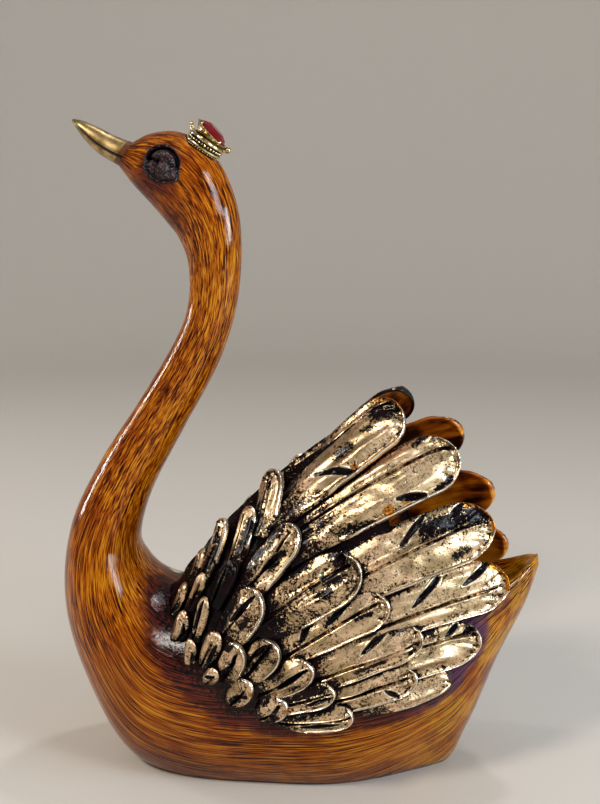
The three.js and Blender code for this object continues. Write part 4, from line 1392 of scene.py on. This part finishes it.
def add_stage():
    """A pale floor that curves up into a pale backdrop all round."""
    flat, cove, rise, segments, cove_steps = 0.8, 0.45, 0.9, 96, 12
    profile = [(flat * share, 0.0) for share in (0.02, 0.3, 0.6, 0.9, 1.0)]
    for i in range(1, cove_steps + 1):
        a = i / cove_steps * math.pi / 2
        profile.append((flat + cove * math.sin(a), cove * (1 - math.cos(a))))
    profile.append((flat + cove, cove + rise))
    turns = [2 * math.pi * k / segments for k in range(segments)]
    points = [around(r, a, z) for r, z in profile for a in turns] + [(0, 0, 0)]
    faces = [(k, (k + 1) % segments, len(points) - 1) for k in range(segments)]
    for r in range(len(profile) - 1):
        for k in range(segments):
            a, b = r * segments + k, r * segments + (k + 1) % segments
            faces.append((a, a + segments, b + segments, b))
    mesh = bpy.data.meshes.new("floor")
    mesh.from_pydata(points, [], faces)
    mesh.polygons.foreach_set("use_smooth", np.ones(len(mesh.polygons), dtype=bool))
    paint = Nodes("floor_paint").finish(Base_Color=(0.50, 0.46, 0.415, 1), Roughness=0.6)
    mesh.materials.append(paint)
    floor = bpy.data.objects.new("floor", mesh)
    bpy.context.scene.collection.objects.link(floor)


def add_lights():
    world = bpy.data.worlds.new("world")
    world.use_nodes = True
    background = world.node_tree.nodes["Background"]
    background.inputs["Color"].default_value = (0.86, 0.88, 0.92, 1)
    background.inputs["Strength"].default_value = 0.36
    bpy.context.scene.world = world
    add_area("key", (-0.45, -0.62, 0.85), (0.19, 0.19), 6.0, (1.0, 0.95, 0.88))
    add_area("strip_right", (0.65, -0.47, 0.50), (0.20, 0.42), 4.2, (0.84, 0.92, 1.0))
    add_area("low_right", (0.85, -0.18, 0.25), (0.20, 0.26), 4.4, (0.70, 0.87, 1.0))
    add_area("strip_left", (-0.80, 0.20, 0.36), (0.05, 0.40), 2.5, (1.0, 0.98, 0.95))
    add_area("top", (0.20, 0.26, 1.02), (0.07, 0.07), 1.6, (0.95, 0.97, 1.0))


def ground_block(material):
    """Everything below the surface that the swan stands on."""
    ends = (-BLOCK_REACH, BLOCK_REACH)
    corners = [(x, y, z) for x in ends for y in ends for z in (-BLOCK_DEPTH, 0)]
    faces = [(0, 1, 3, 2), (4, 6, 7, 5), (0, 4, 5, 1), (2, 3, 7, 6), (0, 2, 6, 4), (1, 5, 7, 3)]
    return make_mesh("ground_block", corners, faces, [material])


def build_swan():
    lacquer, gilt, inner = lacquer_material(), gilt_material(), inner_material()
    dark = eye_material()
    body = as_object(body_mesh(lacquer))
    eyes = [eye_meshes(body, dark, side) for side in (-1, 1)]
    merged(body, "DIFFERENCE", [socket for socket, _ in eyes])
    additions = [eye for _, eye in eyes] + [bill_mesh(bill_material())] + wing_meshes(gilt, inner)
    merged(body, "UNION", additions)
    seat_radius = RING_RADIUS + 0.3 + SEAT_CLEARANCE
    rows = [(0, -SEAT_CLEARANCE, 0), (seat_radius, -SEAT_CLEARANCE, 0), (seat_radius, 12, 0), (0, 12, 0)]
    merged(body, "DIFFERENCE", [ground_block(lacquer), turned("seat", rows, 64, crown_matrix(), lacquer)])
    drop_pockets(body.data)
    body.data.set_sharp_from_angle(angle=SWAN_SHARP)
    add_shading(body, lacquer, gilt)
    return body


add_camera()
add_stage()
add_lights()
bpy.context.scene.view_settings.view_transform = "Standard"
bpy.context.scene.view_settings.look = "Medium High Contrast"

pieces = (
    (build_swan(), "swan", "lacquered_resin"),
    (crown_piece(crown_material()), "crown", "crown_metal"),
    (stone_piece(stone_material()), "crown_stone", "red_stone"),
)
for piece, node, slot in pieces:
    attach(piece, "root")
    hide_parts(node)
